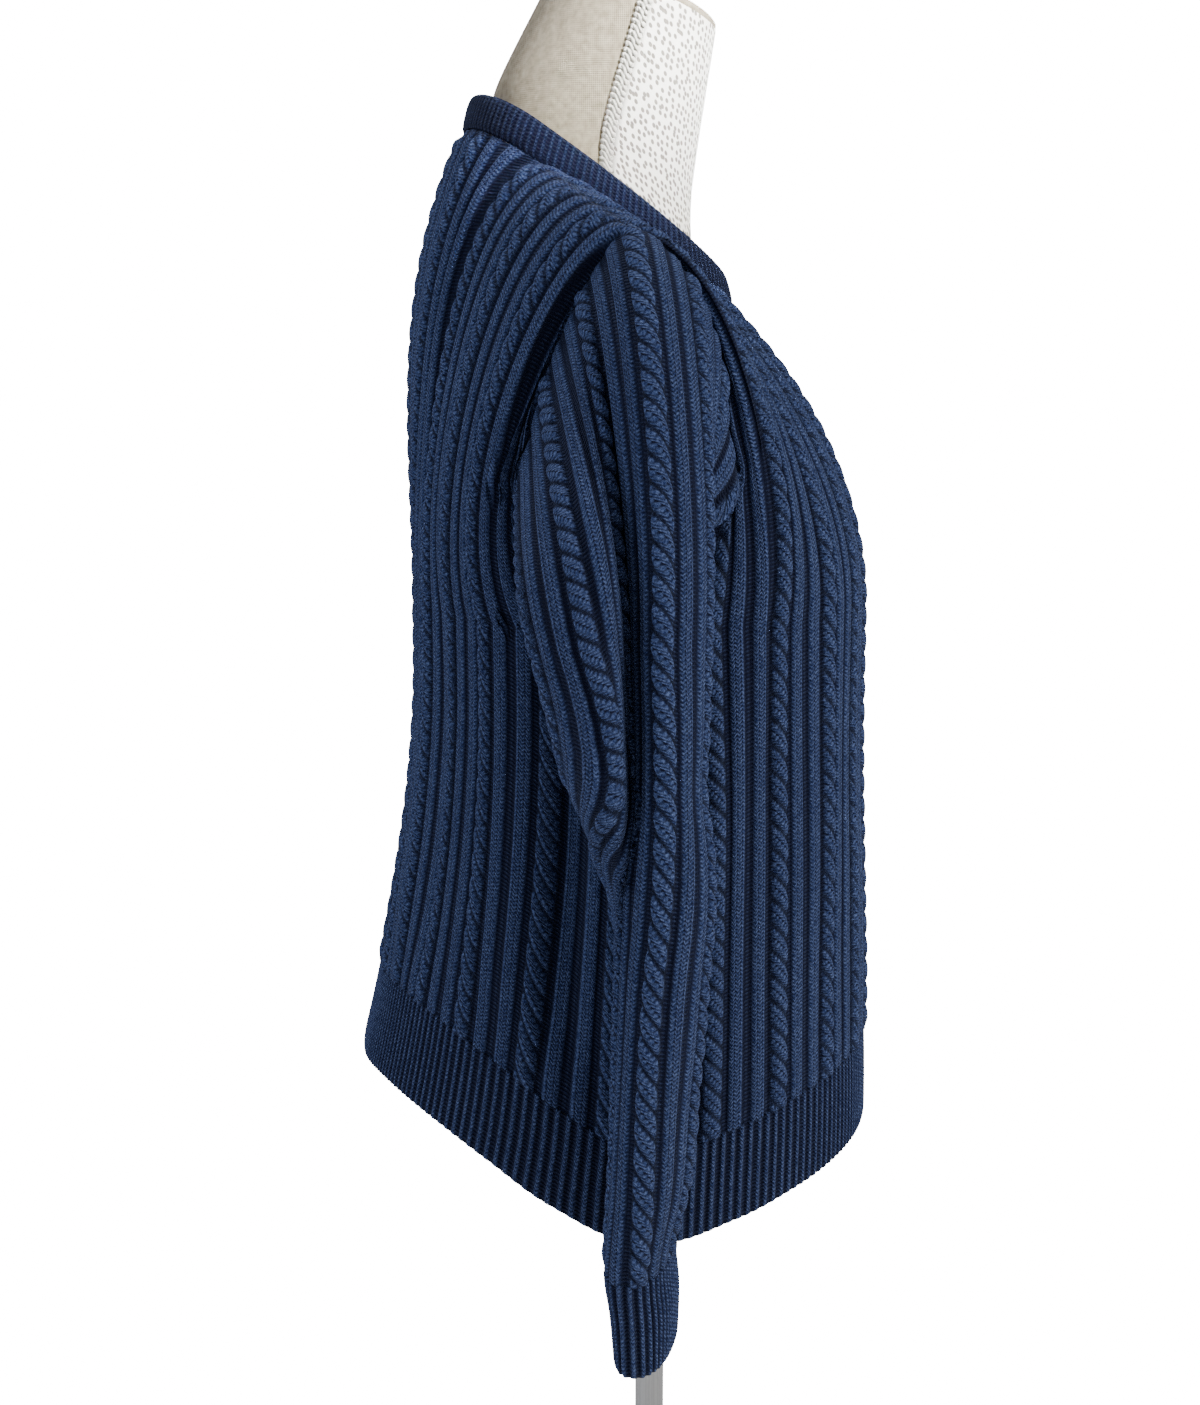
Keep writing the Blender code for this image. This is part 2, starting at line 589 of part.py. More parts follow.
# Pattern columns: flat distance from the panel's centre, and what the column carries
def pattern_columns(half_width, extra):
    columns = []
    count = int(half_width / REPEAT) + 1
    for index in range(-count, count + 1):
        centre = index * REPEAT
        for offset, kind in (
            (-RIB_AT, "rib"),
            (-GUTTER_AT, "gutter"),
            (0.0, "cable"),
            (GUTTER_AT, "gutter"),
            (RIB_AT, "rib"),
            (REPEAT / 2, "gutter"),
        ):
            if abs(centre + offset) < half_width - PATTERN_MARGIN:
                columns.append((centre + offset, kind))
    columns = [item for item in columns if all(abs(item[0] - place) > LEAST_SPACING for place in extra)]
    columns += [(place, "gutter") for place in extra]
    return sorted(columns)


class Shell:
    # Vertices and triangles of one piece of cloth, collected before they become an object
    def __init__(self):
        self.vertices = []
        self.faces = []

    def add(self, points):
        first = len(self.vertices)
        self.vertices.extend(points)
        return list(range(first, first + len(points)))

    # Triangles between two chains of vertices, each step taken on the chain whose key is behind
    def strip(self, chain_a, keys_a, chain_b, keys_b):
        a = 0
        b = 0
        while a < len(chain_a) - 1 or b < len(chain_b) - 1:
            a_left = a < len(chain_a) - 1
            b_left = b < len(chain_b) - 1
            if a_left and (not b_left or keys_a[a + 1] <= keys_b[b + 1]):
                self.faces.append((chain_a[a], chain_a[a + 1], chain_b[b]))
                a += 1
            else:
                self.faces.append((chain_a[a], chain_b[b + 1], chain_b[b]))
                b += 1


# Values of a path at given distances along it
def along_path(path, lengths, wanted):
    return np.stack([np.interp(wanted, lengths, path[:, axis]) for axis in range(path.shape[1])], axis=-1)


# Distances along a wale where it has points: a few for ribs and gutters, one a crossing for a cable
def wale_rows(kind, total, plain_rows):
    if kind != "cable":
        return plain_rows * total
    count = int((total - SEAM_FADE) / CABLE_CROSSING)
    crossings = (np.arange(count) + 1) * CABLE_CROSSING
    return np.concatenate([[0.0], crossings, [total]])


# Height of a wale's relief, which sinks towards the seams at both of its ends
def relief_height(kind, distance, total):
    height = {"cable": CABLE_HEIGHT, "rib": RIB_HEIGHT, "gutter": 0.0}[kind]
    top = smooth_step((total - distance) / SEAM_FADE)
    low = smooth_step(distance / SEAM_FADE)
    return height * (TOP_RELIEF + (1 - TOP_RELIEF) * top) * (LOW_RELIEF + (1 - LOW_RELIEF) * low)


# One wall of patterned cloth. Base points and outward directions come as [wale, sample] grids, and
# the points that its top edge has between two wales as rows of flat distance, point and direction.
def cloth_wall(columns, grid, normals, end_normals, edge_extra, inner_at, row_shares, closed):
    outer_rows, inner_rows = row_shares
    shell = Shell()
    widths = np.array([column[0] for column in columns])
    lengths = cumulative_length(grid)
    across = unit(np.gradient(grid, widths, axis=0)) if not closed else None
    outer = []
    outer_keys = []
    low_inner = []
    top_inner = []
    for index, (width, kind) in enumerate(columns):
        total = lengths[index, -1]
        rows = wale_rows(kind, total, outer_rows)
        base = along_path(grid[index], lengths[index], rows)
        normal = unit(along_path(normals[index], lengths[index], rows))
        normal[-1] = end_normals[index]
        side = across[index] if across is not None else unit(
            grid[(index + 1) % len(grid)] - grid[index - 1]
        )
        sideways = along_path(side, lengths[index], rows)
        height = relief_height(kind, rows, total)
        points = base + normal * height[:, None]
        if kind == "cable":
            turn = np.where(np.arange(len(rows)) % 2 == 0, 1.0, -1.0)
            turn[0] = 0.0
            turn[-1] = 0.0
            points = points + sideways * (CABLE_WANDER * turn)[:, None]
        outer.append(shell.add(points))
        outer_keys.append(rows / total)
        low_inner.append(base[0] - normal[0] * WALL)
        top_inner.append(base[-1] - normal[-1] * WALL)
    pairs = list(zip(range(len(columns)), range(1, len(columns))))
    if closed:
        pairs.append((len(columns) - 1, 0))
    for a, b in pairs:
        if widths[a] >= 0 and not closed:
            a, b = b, a
        shell.strip(outer[a], outer_keys[a], outer[b], outer_keys[b])
    span = widths[-1] - widths[0]
    wale_keys = (widths - widths[0]) / span
    low_chain = shell.add(low_inner)
    top_chain = []
    top_keys = []
    outer_top = []
    for index, chain in enumerate(outer):
        outer_top.append(chain[-1])
        top_chain += shell.add([top_inner[index]])
        top_keys.append(wale_keys[index])
        following = widths[index + 1] if index + 1 < len(widths) else np.inf
        between = [row for row in edge_extra if widths[index] < row[0] < following]
        if not between:
            continue
        added = shell.add([point for _, point, _ in between])
        neighbour = outer[(index + 1) % len(outer)][-1]
        mirrored = widths[index] >= 0 and not closed
        apex = chain[-1] if mirrored else neighbour
        rim = added + [neighbour] if mirrored else [chain[-1]] + added
        for a, b in zip(rim, rim[1:]):
            shell.faces.append((a, apex, b))
        outer_top += added
        top_chain += shell.add([point - normal * WALL for _, point, normal in between])
        top_keys += [(row[0] - widths[0]) / span for row in between]
    top_keys = np.array(top_keys)
    inner_chains = []
    for row in inner_rows:
        points = []
        for index in inner_at:
            distance = np.array([row * lengths[index, -1]])
            base = along_path(grid[index], lengths[index], distance)[0]
            normal = unit(along_path(normals[index], lengths[index], distance))[0]
            points.append(base - normal * WALL)
        inner_chains.append(shell.add(points))
    inner_keys = wale_keys[inner_at]
    outer_low = [chain[0] for chain in outer]
    rings = [(outer_low, wale_keys), (low_chain, wale_keys)]
    rings += [(chain, inner_keys) for chain in inner_chains]
    rings += [(top_chain, top_keys), (outer_top, top_keys)]
    if closed:
        rings = [(chain + [chain[0]], np.append(keys, 1.0 + wale_keys[1])) for chain, keys in rings]
    for (chain_a, keys_a), (chain_b, keys_b) in zip(rings, rings[1:]):
        shell.strip(chain_a, keys_a, chain_b, keys_b)
    if not closed:
        for end in (0, -1):
            inner_side = [low_chain[end]] + [chain[end] for chain in inner_chains] + [top_chain[end]]
            keys = np.concatenate([[0.0], inner_rows, [1.0]])
            shell.strip(outer[end], outer_keys[end], inner_side, keys)
    return shell


def add_object(name, shell, material, collection):
    mesh = bpy.data.meshes.new(name)
    mesh.from_pydata([tuple(point) for point in shell.vertices], [], shell.faces)
    work = bmesh.new()
    work.from_mesh(mesh)
    bmesh.ops.remove_doubles(work, verts=work.verts, dist=WELD_DISTANCE)
    bmesh.ops.recalc_face_normals(work, faces=work.faces)
    if work.calc_volume(signed=True) < 0:
        bmesh.ops.reverse_faces(work, faces=work.faces)
    work.to_mesh(mesh)
    work.free()
    item = bpy.data.objects.new(name, mesh)
    item.data.materials.append(material)
    collection.objects.link(item)
    return item


# Wales whose inside gets points: always the ones where the top edge turns, every few between them,
# and more of them below the armhole, the same on both sides of the middle
def inner_wales(columns, must_have, close_from):
    widths = np.array([column[0] for column in columns])
    ordered = sorted({0, len(columns) - 1} | {int(np.argmin(np.abs(widths - place))) for place in must_have})
    chosen = {len(columns) - 1}
    for a, b in zip(ordered, ordered[1:]):
        near_arm = min(abs(widths[a]), abs(widths[b])) > close_from - 0.0001
        count = max(1, int(round((b - a) / (INNER_STEPS / 2 if near_arm else INNER_STEPS))))
        chosen |= {int(round(a + (b - a) * step / count)) for step in range(count)}
    half = {index for index in chosen if widths[index] <= 0}
    if abs(widths[0] + widths[-1]) < 1e-6:
        chosen = half | {len(columns) - 1 - index for index in half}
    return np.array(sorted(chosen))


# Flat distances where a panel's top edge gets a point between two wales: along the neckline every
# few millimetres, and at the armhole where a wale of the sleeve ends
def edge_widths(widths, edge, half_width, from_back):
    neck_width = BACK_NECK_WIDTH if from_back else FRONT_NECK_WIDTH
    chosen = []
    for index in range(len(widths) - 1):
        if max(abs(widths[index]), abs(widths[index + 1])) > neck_width + 0.0001:
            continue
        pieces = int(np.linalg.norm(edge[index + 1] - edge[index]) / EDGE_STEP) + 1
        apart = widths[index + 1] - widths[index]
        chosen += [widths[index] + apart * step / pieces for step in range(1, pieces)]
    places = cap_place(sleeve_columns()[0])
    places = places[places < -0.01] if from_back else places[(places > 0.01)]
    arm = armhole_width(places, half_width, from_back)
    arm = arm[arm < half_width - 0.0004]
    chosen += list(arm) + list(-arm)
    return np.array(sorted(item for item in chosen if np.min(np.abs(widths - item)) > 0.00005))


# Wales that a panel must have: its sides and where its top edge turns
def panel_turns(from_back):
    half_width = make_width_map(from_back)[0][-1]
    neck_width = BACK_NECK_WIDTH if from_back else FRONT_NECK_WIDTH
    tip_width = BACK_TIP_WIDTH if from_back else FRONT_TIP_WIDTH
    right = [neck_width, tip_width] + [tip_width + step for step in ARMHOLE_EXTRA] + [half_width - SEAM_GAP / 2]
    return right + [-place for place in right]


def panel_columns(from_back):
    return pattern_columns(make_width_map(from_back)[0][-1], panel_turns(from_back))


def build_panel(name, from_back, material, collection):
    half_width = make_width_map(from_back)[0][-1]
    columns = panel_columns(from_back)
    widths = np.array([column[0] for column in columns])
    grid, end_normals, _ = panel_paths(widths, from_back)
    normals = panel_normals(grid, widths, from_back)
    normals[:, 0, 2] = 0.0
    leads = grid[:, -1] - grid[:, -2]
    grid[:, -1] = trim_top(grid[:, -1], leads, widths, half_width, from_back)
    extra_widths = edge_widths(widths, grid[:, -1], half_width, from_back)
    extra_grid, extra_normals, _ = panel_paths(extra_widths, from_back)
    extra_leads = extra_grid[:, -1] - extra_grid[:, -2]
    extra_points = trim_top(extra_grid[:, -1], extra_leads, extra_widths, half_width, from_back)
    edge_extra = list(zip(extra_widths, extra_points, extra_normals))
    tip_width = BACK_TIP_WIDTH if from_back else FRONT_TIP_WIDTH
    wales = inner_wales(columns, panel_turns(from_back), tip_width)
    row_shares = (PANEL_ROWS, PANEL_INNER_ROWS)
    shell = cloth_wall(columns, grid, normals, end_normals, edge_extra, wales, row_shares, False)
    return add_object(name, shell, material, collection)


# Draws a panel's top edge back, so that the pieces that meet there keep their gap
def trim_top(points, leads, widths, half_width, from_back):
    tip_width = BACK_TIP_WIDTH if from_back else FRONT_TIP_WIDTH
    distance = np.abs(widths)
    on_arm = distance > tip_width - 0.0001
    arm_share = np.clip((distance - tip_width) / (half_width - tip_width), 0.0, 1.0) ** ARMHOLE_SPREAD
    outwards = armhole_outwards(-0.5 * arm_share if from_back else 0.5 * arm_share)
    outwards[:, 0] *= np.where(widths > 0, -1.0, 1.0)
    back = np.where(distance < tip_width + 0.0001, SEAM_GAP / 2, 0.0)
    sideways = np.where(on_arm, PANEL_SET_BACK, 0.0)
    return points - unit(leads) * back[:, None] - outwards * sideways[:, None]


# Wales of the sleeve: their shares of half its girth at a height, and what they carry. The pattern
# is as wide as the cuff; above it the sleeve widens by a few wales on each side of the underarm.
def sleeve_columns(z=BICEP_Z):
    straight = sleeve_ring(CUFF_TOP_Z)[1] / 2 - SLEEVE_MARGIN
    pattern = [item for item in pattern_columns(straight, ()) if abs(item[0]) < straight]
    half = sleeve_ring(z)[1] / 2
    first = pattern[0][0]
    last = pattern[-1][0]
    right = [first - (half + first) * part for part in SLEEVE_FAN]
    left = [last + (half - last) * part for part in SLEEVE_FAN]
    flat = [-half] + right[::-1] + [place for place, _ in pattern] + left
    kinds = ["gutter"] + list(SLEEVE_FAN_KINDS) + [kind for _, kind in pattern] + list(SLEEVE_FAN_KINDS)
    return np.array(flat) / half, kinds


# Shares of the sleeve's girth where the panels' wales end between two of its own
def cap_extra(shares):
    dense = np.linspace(-1.0, 1.0, 4001)
    wanted = []
    for from_back in (False, True):
        half_width = make_width_map(from_back)[0][-1]
        tip_width = BACK_TIP_WIDTH if from_back else FRONT_TIP_WIDTH
        widths = np.array([column[0] for column in panel_columns(from_back)])
        widths = widths[widths > tip_width + 0.0001]
        place = 0.5 * ((widths - tip_width) / (half_width - tip_width)) ** ARMHOLE_SPREAD
        wanted.append(np.interp(place, cap_place(dense), dense) * (-1.0 if from_back else 1.0))
    wanted = np.concatenate(wanted)
    return np.array(sorted(item for item in wanted if np.min(np.abs(shares - item)) > 0.002))


def build_sleeve(name, side, material, collection):
    low = CUFF_TOP_Z + SEAM_GAP / 2
    lower = sleeve_paths(low, BICEP_Z)
    shares, kinds = sleeve_columns()
    grid = np.concatenate([lower, sleeve_cap(shares, lower)[:, 1:]], axis=1)
    half_girth = sleeve_ring(BICEP_Z)[1] / 2
    widths = shares * half_girth
    normals = sleeve_normals(grid, shares)
    normals[:, 0, 2] = 0.0
    extra = cap_extra(np.append(shares, 1.0))
    places = cap_place(extra)
    extra_points = armhole_point(places) + armhole_outwards(places) * SLEEVE_SET_OUT
    edge_extra = list(zip(extra * half_girth, extra_points, armhole_normal(places)))
    columns = list(zip(widths, kinds))
    loop_normals = armhole_normal(cap_place(shares))
    turns = [share * half_girth for share in SLEEVE_INNER_TURNS]
    wales = inner_wales(columns, turns, SLEEVE_CLOSE_FROM * half_girth)
    row_shares = (SLEEVE_ROWS, SLEEVE_INNER_ROWS)
    shell = cloth_wall(columns, grid, normals, loop_normals, edge_extra, wales, row_shares, True)
    if side < 0:
        shell.vertices = [np.array((-x, y, z)) for x, y, z in shell.vertices]
    return add_object(name, shell, material, collection)


# A ribbed band between two edges: grid [rib point, row] of base points and outward directions
def rib_wall(base, normals, inner_every, closed):
    shell = Shell()
    ribs = base.shape[0]
    rows = base.shape[1]
    raised = np.where(np.arange(ribs) % 2 == 1, BAND_RELIEF, 0.0)[:, None, None]
    outer = [shell.add(base[index] + normals[index] * raised[index]) for index in range(ribs)]
    wales = sorted(set(range(0, ribs, inner_every)) | ({ribs - 1} if not closed else set()))
    inner = [shell.add(base[index] - normals[index] * WALL) for index in wales]
    keys = np.arange(ribs) / ribs
    outer_rows = [([chain[row] for chain in outer], keys) for row in range(rows)]
    inner_rows = [([chain[row] for chain in inner], keys[wales]) for row in reversed(range(rows))]
    rings = outer_rows + inner_rows
    if closed:
        rings = [(chain + [chain[0]], np.append(ring_keys, 1.0)) for chain, ring_keys in rings]
    for (chain_a, keys_a), (chain_b, keys_b) in zip(rings, rings[1:]):
        shell.strip(chain_a, keys_a, chain_b, keys_b)
    shell.strip(rings[-1][0], rings[-1][1], rings[0][0], rings[0][1])
    if not closed:
        for end in (0, -1):
            shell.strip(outer[end], np.arange(rows), inner[end], np.arange(rows))
    return shell


def build_hem(name, from_back, material, collection):
    lengths, angles = make_width_map(from_back)
    half_width = lengths[-1] - SEAM_GAP / 2
    count = 4 * int(round(half_width / HEM_PITCH)) + 1
    widths = np.linspace(-half_width, half_width, count)
    angle = np.interp(np.abs(widths), lengths, angles)
    low = hem_height(angle)
    part = np.linspace(0.0, 1.0, 3)
    heights = low[:, None] + (BAND_HEIGHT - SEAM_GAP) * part[None, :]
    base = body_section(angle[:, None], heights)
    base[..., 0] *= np.where(widths > 0, -1.0, 1.0)[:, None]
    normals = panel_normals(base, widths, from_back)
    normals[..., 2] = 0.0
    return add_object(name, rib_wall(base, normals, 4, False), material, collection)


def build_cuff(name, side, material, collection):
    girth = sleeve_ring(CUFF_TOP_Z)[1]
    count = 2 * int(round(girth / CUFF_PITCH))
    shares = -1.0 + 2.0 * np.arange(count) / count
    heights = np.array((CUFF_LOW_Z, (CUFF_LOW_Z + CUFF_TOP_Z) / 2, CUFF_TOP_Z - SEAM_GAP / 2))
    base = np.stack([sleeve_points(shares, z) for z in heights], axis=1)
    wrapped = np.concatenate([base[-1:], base, base[:1]])
    normals = grid_normals(wrapped, np.arange(count + 2.0))[1:-1]
    if np.sum(normals * (base - base.mean(axis=0, keepdims=True))) < 0:
        normals = -normals
    normals[..., 2] = 0.0
    shell = rib_wall(base, normals, 3, True)
    if side < 0:
        shell.vertices = [np.array((-x, y, z)) for x, y, z in shell.vertices]
    return add_object(name, shell, material, collection)


# Whole neckline loop, equally spaced, starting at centre front
def neckline_loop(count):
    half = np.linspace(0.0, 1.0, 800)
    angle_front = neck_place(half, False)
    angle_back = neck_place(1.0 - half, True)
    places = np.concatenate([angle_front, angle_back[1:]])
    right = neckline_point(places)
    normals = neckline_normal(places)
    flip = np.array((-1.0, 1.0, 1.0))
    points = np.concatenate([right, (right * flip)[-2::-1]])
    outward = np.concatenate([normals, (normals * flip)[-2::-1]])
    lengths = cumulative_length(points)
    wanted = lengths[-1] * np.arange(count) / count
    return along_path(points, lengths, wanted), unit(along_path(outward, lengths, wanted)), lengths[-1]


# Neckband: a strip folded double that stands on the neckline and leans in with the neck
def build_neckband(material, collection):
    around = neckline_loop(8)[2]
    count = 2 * int(round(around / NECK_PITCH))
    points, normals, _ = neckline_loop(count)
    wrapped = np.concatenate([points[-1:], points, points[:1]])
    along = unit(wrapped[2:] - wrapped[:-2])
    rise = unit(np.cross(along, normals))
    rise = rise * np.where(rise[:, 2:] < 0, -1.0, 1.0)
    outward = normals.copy()
    outward[:, 2] = 0.0
    outward = unit(outward)
    plumb = np.array((0.0, 0.0, NECKBAND_UPRIGHT))
    upright = unit(rise * NECKBAND_RISE + plumb - outward * NECKBAND_LEAN_IN)
    raised = np.where(np.arange(count) % 2 == 1, BAND_RELIEF, 0.0)
    shell = Shell()
    rings = []
    for height, offset, ribbed in NECKBAND_PROFILE:
        lean = smooth_step(np.array(height * 3.0))
        thick = unit(normals * (1.0 - lean) + outward * lean)
        ring = points + rise * NECKBAND_GAP + upright * (height * NECKBAND_HEIGHT)
        ring = ring + thick * (offset + raised * ribbed)[:, None]
        chain = shell.add(ring)
        rings.append(chain + [chain[0]])
    keys = np.arange(count + 1)
    rings.append(rings[0])
    for chain_a, chain_b in zip(rings, rings[1:]):
        shell.strip(chain_a, keys, chain_b, keys)
    return add_object("neckband", shell, material, collection)


def neck_ring(row, count):
    size = dict(zip(NECK_COLUMNS, row))
    angle = 2 * math.pi * np.arange(count) / count
    middle = np.array((0.0, (size["front_y"] + size["back_y"]) / 2, (size["front_z"] + size["back_z"]) / 2))
    front = np.array((0.0, size["front_y"], size["front_z"]))
    side = np.array((-size["half_width"], 0.0, 0.0))
    return middle + np.cos(angle)[:, None] * (front - middle) + np.sin(angle)[:, None] * side


# Places along a panel's top edge that the dress form shares between its front and its back
def form_widths(from_back, half_width):
    neck_width = BACK_NECK_WIDTH if from_back else FRONT_NECK_WIDTH
    tip_width = BACK_TIP_WIDTH if from_back else FRONT_TIP_WIDTH
    stops = [0.0, neck_width, tip_width, half_width]
    widths = [0.0]
    for start, end, count in zip(stops, stops[1:], FORM_PIECES):
        widths += [start + (end - start) * (step + 1) / count for step in range(count)]
    return np.array(widths)


# Dress form: the cloth's own surface drawn inwards, closed at the armholes, the neck and below
def build_form(material, collection):
    shell = Shell()
    chest_rings = []
    edge_points = {}
    for from_back in (False, True):
        lengths, angles = make_width_map(from_back)
        half_width = lengths[-1]
        neck_width = BACK_NECK_WIDTH if from_back else FRONT_NECK_WIDTH
        tip_width = BACK_TIP_WIDTH if from_back else FRONT_TIP_WIDTH
        one_side = form_widths(from_back, half_width)
        widths = np.concatenate([-one_side[:0:-1], one_side])
        grid, end_normals, _ = panel_paths(widths, from_back)
        fine = np.linspace(widths[0], widths[-1], 241)
        fine_grid = panel_paths(fine, from_back)[0]
        fine_normals = panel_normals(fine_grid, fine, from_back)
        nearest = np.argmin(np.abs(fine[None, :] - widths[:, None]), axis=1)
        normals = fine_normals[nearest]
        upper = grid[:, PATH_SAMPLES - 1 :]
        upper_normals = normals[:, PATH_SAMPLES - 1 :]
        lengths_up = cumulative_length(upper)
        chains = []
        for index in range(len(widths)):
            wanted = FORM_ROWS * lengths_up[index, -1]
            base = along_path(upper[index], lengths_up[index], wanted)
            normal = unit(along_path(upper_normals[index], lengths_up[index], wanted))
            shoulder_share = (abs(widths[index]) - neck_width) / (tip_width - neck_width)
            on_arm = smooth_step((shoulder_share - FORM_ARM_FROM) / (1.0 - FORM_ARM_FROM))
            turned = smooth_step((FORM_ROWS - FORM_EDGE_FROM) / (1.0 - FORM_EDGE_FROM)) * on_arm
            turned[-1] = 1.0
            normal = unit(normal + (end_normals[index] - normal) * turned[:, None])
            left = (lengths_up[index, -1] - wanted) / FORM_FADE
            near = FORM_CLEARANCE + (FORM_ARM_CLEARANCE - FORM_CLEARANCE) * on_arm
            depth = near + (FORM_CHEST_CLEARANCE - near) * smooth_step(left)
            points = base - normal * depth[:, None]
            towards_tip = smooth_step((points[:, 2] - ARM_PLATE_TOP) / ARM_PLATE_FADE)
            reach = ARM_PLATE_X + (TIP_REACH - ARM_PLATE_X) * towards_tip
            over = smooth_step((points[:, 2] - CHEST_Z) / CHEST_BLEND)
            clamped = np.clip(points[:, 0], -reach, reach)
            points[:, 0] += (clamped - points[:, 0]) * over
            chains.append(shell.add(points))
        for a, b in zip(chains, chains[1:]):
            shell.strip(a, FORM_ROWS, b, FORM_ROWS)
        chest_rings.append([chain[0] for chain in chains])
        edge_points[from_back] = [chain[-1] for chain in chains]
    ring = chest_rings[0] + chest_rings[1][-2:0:-1]
    ring_points = np.array([shell.vertices[index] for index in ring])
    ring_keys = np.arange(len(ring) + 1)
    centre = np.array((0.0, POLE_PLACE[1], 0.0))
    previous = ring + [ring[0]]
    for z, share in FORM_RINGS:
        points = centre + (ring_points - centre) * np.array((share, share, 0.0)) + np.array((0.0, 0.0, z))
        chain = shell.add(points)
        shell.strip(previous, ring_keys, chain + [chain[0]], ring_keys)
        previous = chain + [chain[0]]
    hub = shell.add([np.array((centre[0], centre[1], FORM_RINGS[-1][0]))])[0]
    for a, b in zip(previous, previous[1:]):
        shell.faces.append((a, b, hub))
    middle = len(edge_points[False]) // 2
    reach = range(-FORM_PIECES[0], FORM_PIECES[0] + 1)
    neck_loop = [edge_points[False][middle + step] for step in reach]
    neck_loop += [edge_points[True][middle - step] for step in list(reach)[1:-1]]
    neck_loop = neck_loop[FORM_PIECES[0] :] + neck_loop[: FORM_PIECES[0]]
    keys = np.arange(len(neck_loop) + 1)
    previous = neck_loop + [neck_loop[0]]
    for row in NECK_RINGS:
        chain = shell.add(neck_ring(row, len(neck_loop))[::-1][[-1] + list(range(len(neck_loop) - 1))])
        shell.strip(previous, keys, chain + [chain[0]], keys)
        previous = chain + [chain[0]]
    top = np.mean([shell.vertices[index] for index in previous[:-1]], axis=0)
    hub = shell.add([top])[0]
    for a, b in zip(previous, previous[1:]):
        shell.faces.append((a, b, hub))
    tip = FORM_PIECES[0] + FORM_PIECES[1]
    for direction in (-1, 1):
        front_edge = [edge_points[False][middle + direction * step] for step in range(tip, middle + 1)]
        back_edge = [edge_points[True][middle + direction * step] for step in range(tip, middle + 1)]
        loop = front_edge + back_edge[-2:0:-1]
        hub = shell.add([np.array((direction * (ARM_PLATE_X - ARM_PLATE_HOLLOW), *ARM_PLATE_CENTRE))])[0]
        for a, b in zip(loop, loop[1:] + loop[:1]):
            shell.faces.append((a, b, hub))
    return add_object("form_body", shell, material, collection)


def cylinder(name, radius, low, high, segments, material, collection):
    mesh = bpy.data.meshes.new(name)
    work = bmesh.new()
    bmesh.ops.create_cone(
        work, cap_ends=True, segments=segments, radius1=radius, radius2=radius, depth=high - low
    )
    work.to_mesh(mesh)
    work.free()
    item = bpy.data.objects.new(name, mesh)
    item.location = (*POLE_PLACE, (low + high) / 2)
    item.data.materials.append(material)
    collection.objects.link(item)
    return item


def build_stand(materials, collection):
    collar_high = FORM_RINGS[-1][0] - SEAM_GAP
    collar_low = collar_high - COLLAR_HEIGHT
    pole_low = BASE_THICKNESS + SEAM_GAP
    pole_high = collar_low - SEAM_GAP
    steel = materials["steel_pole"]
    cylinder("stand_base", BASE_RADIUS, 0.0, BASE_THICKNESS, 48, materials["painted_base"], collection)
    cylinder("stand_pole", POLE_RADIUS, pole_low, pole_high, 32, steel, collection)
    cylinder("stand_collar", COLLAR_RADIUS, collar_low, collar_high, 32, steel, collection)


def build_cap(material, collection):
    shell = Shell()
    count = 36
    low = neck_ring(NECK_RINGS[-1], count)
    size = dict(zip(NECK_COLUMNS, NECK_RINGS[-1]))
    slope = np.array((0.0, size["back_y"] - size["front_y"], size["back_z"] - size["front_z"]))
    lift = unit(np.cross(np.array((1.0, 0.0, 0.0)), slope))
    middle = low.mean(axis=0) + lift * SEAM_GAP
    keys = np.arange(count + 1)
    chains = []
    for height, share in CAP_PROFILE:
        chain = shell.add(middle + (low - low.mean(axis=0)) * share + lift * height)
        chains.append(chain + [chain[0]])
    for a, b in zip(chains, chains[1:]):
        shell.strip(a, keys, b, keys)
    for chain, height in ((chains[0], CAP_PROFILE[0][0]), (chains[-1], CAP_PROFILE[-1][0])):
        hub = shell.add([middle + lift * height])[0]
        for a, b in zip(chain, chain[1:]):
            shell.faces.append((a, b, hub))
    return add_object("form_cap", shell, material, collection)


def main():
    clear_scene()
    collection = bpy.data.collections.new(OBJECT_NAME)
    bpy.context.scene.collection.children.link(collection)
    materials = make_materials()
    build_panel("front_panel", False, materials["navy_knit"], collection)
    build_panel("back_panel", True, materials["navy_knit"], collection)
    for name, side in SIDES:
        build_sleeve("sleeve_" + name, side, materials["navy_knit"], collection)
        build_cuff("cuff_" + name, side, materials["navy_rib"], collection)
    build_hem("hem_front", False, materials["navy_rib"], collection)
    build_hem("hem_back", True, materials["navy_rib"], collection)
    build_neckband(materials["navy_rib"], collection)
    build_form(materials["linen_cloth"], collection)
    build_cap(materials["linen_cloth"], collection)
    build_stand(materials, collection)


main()
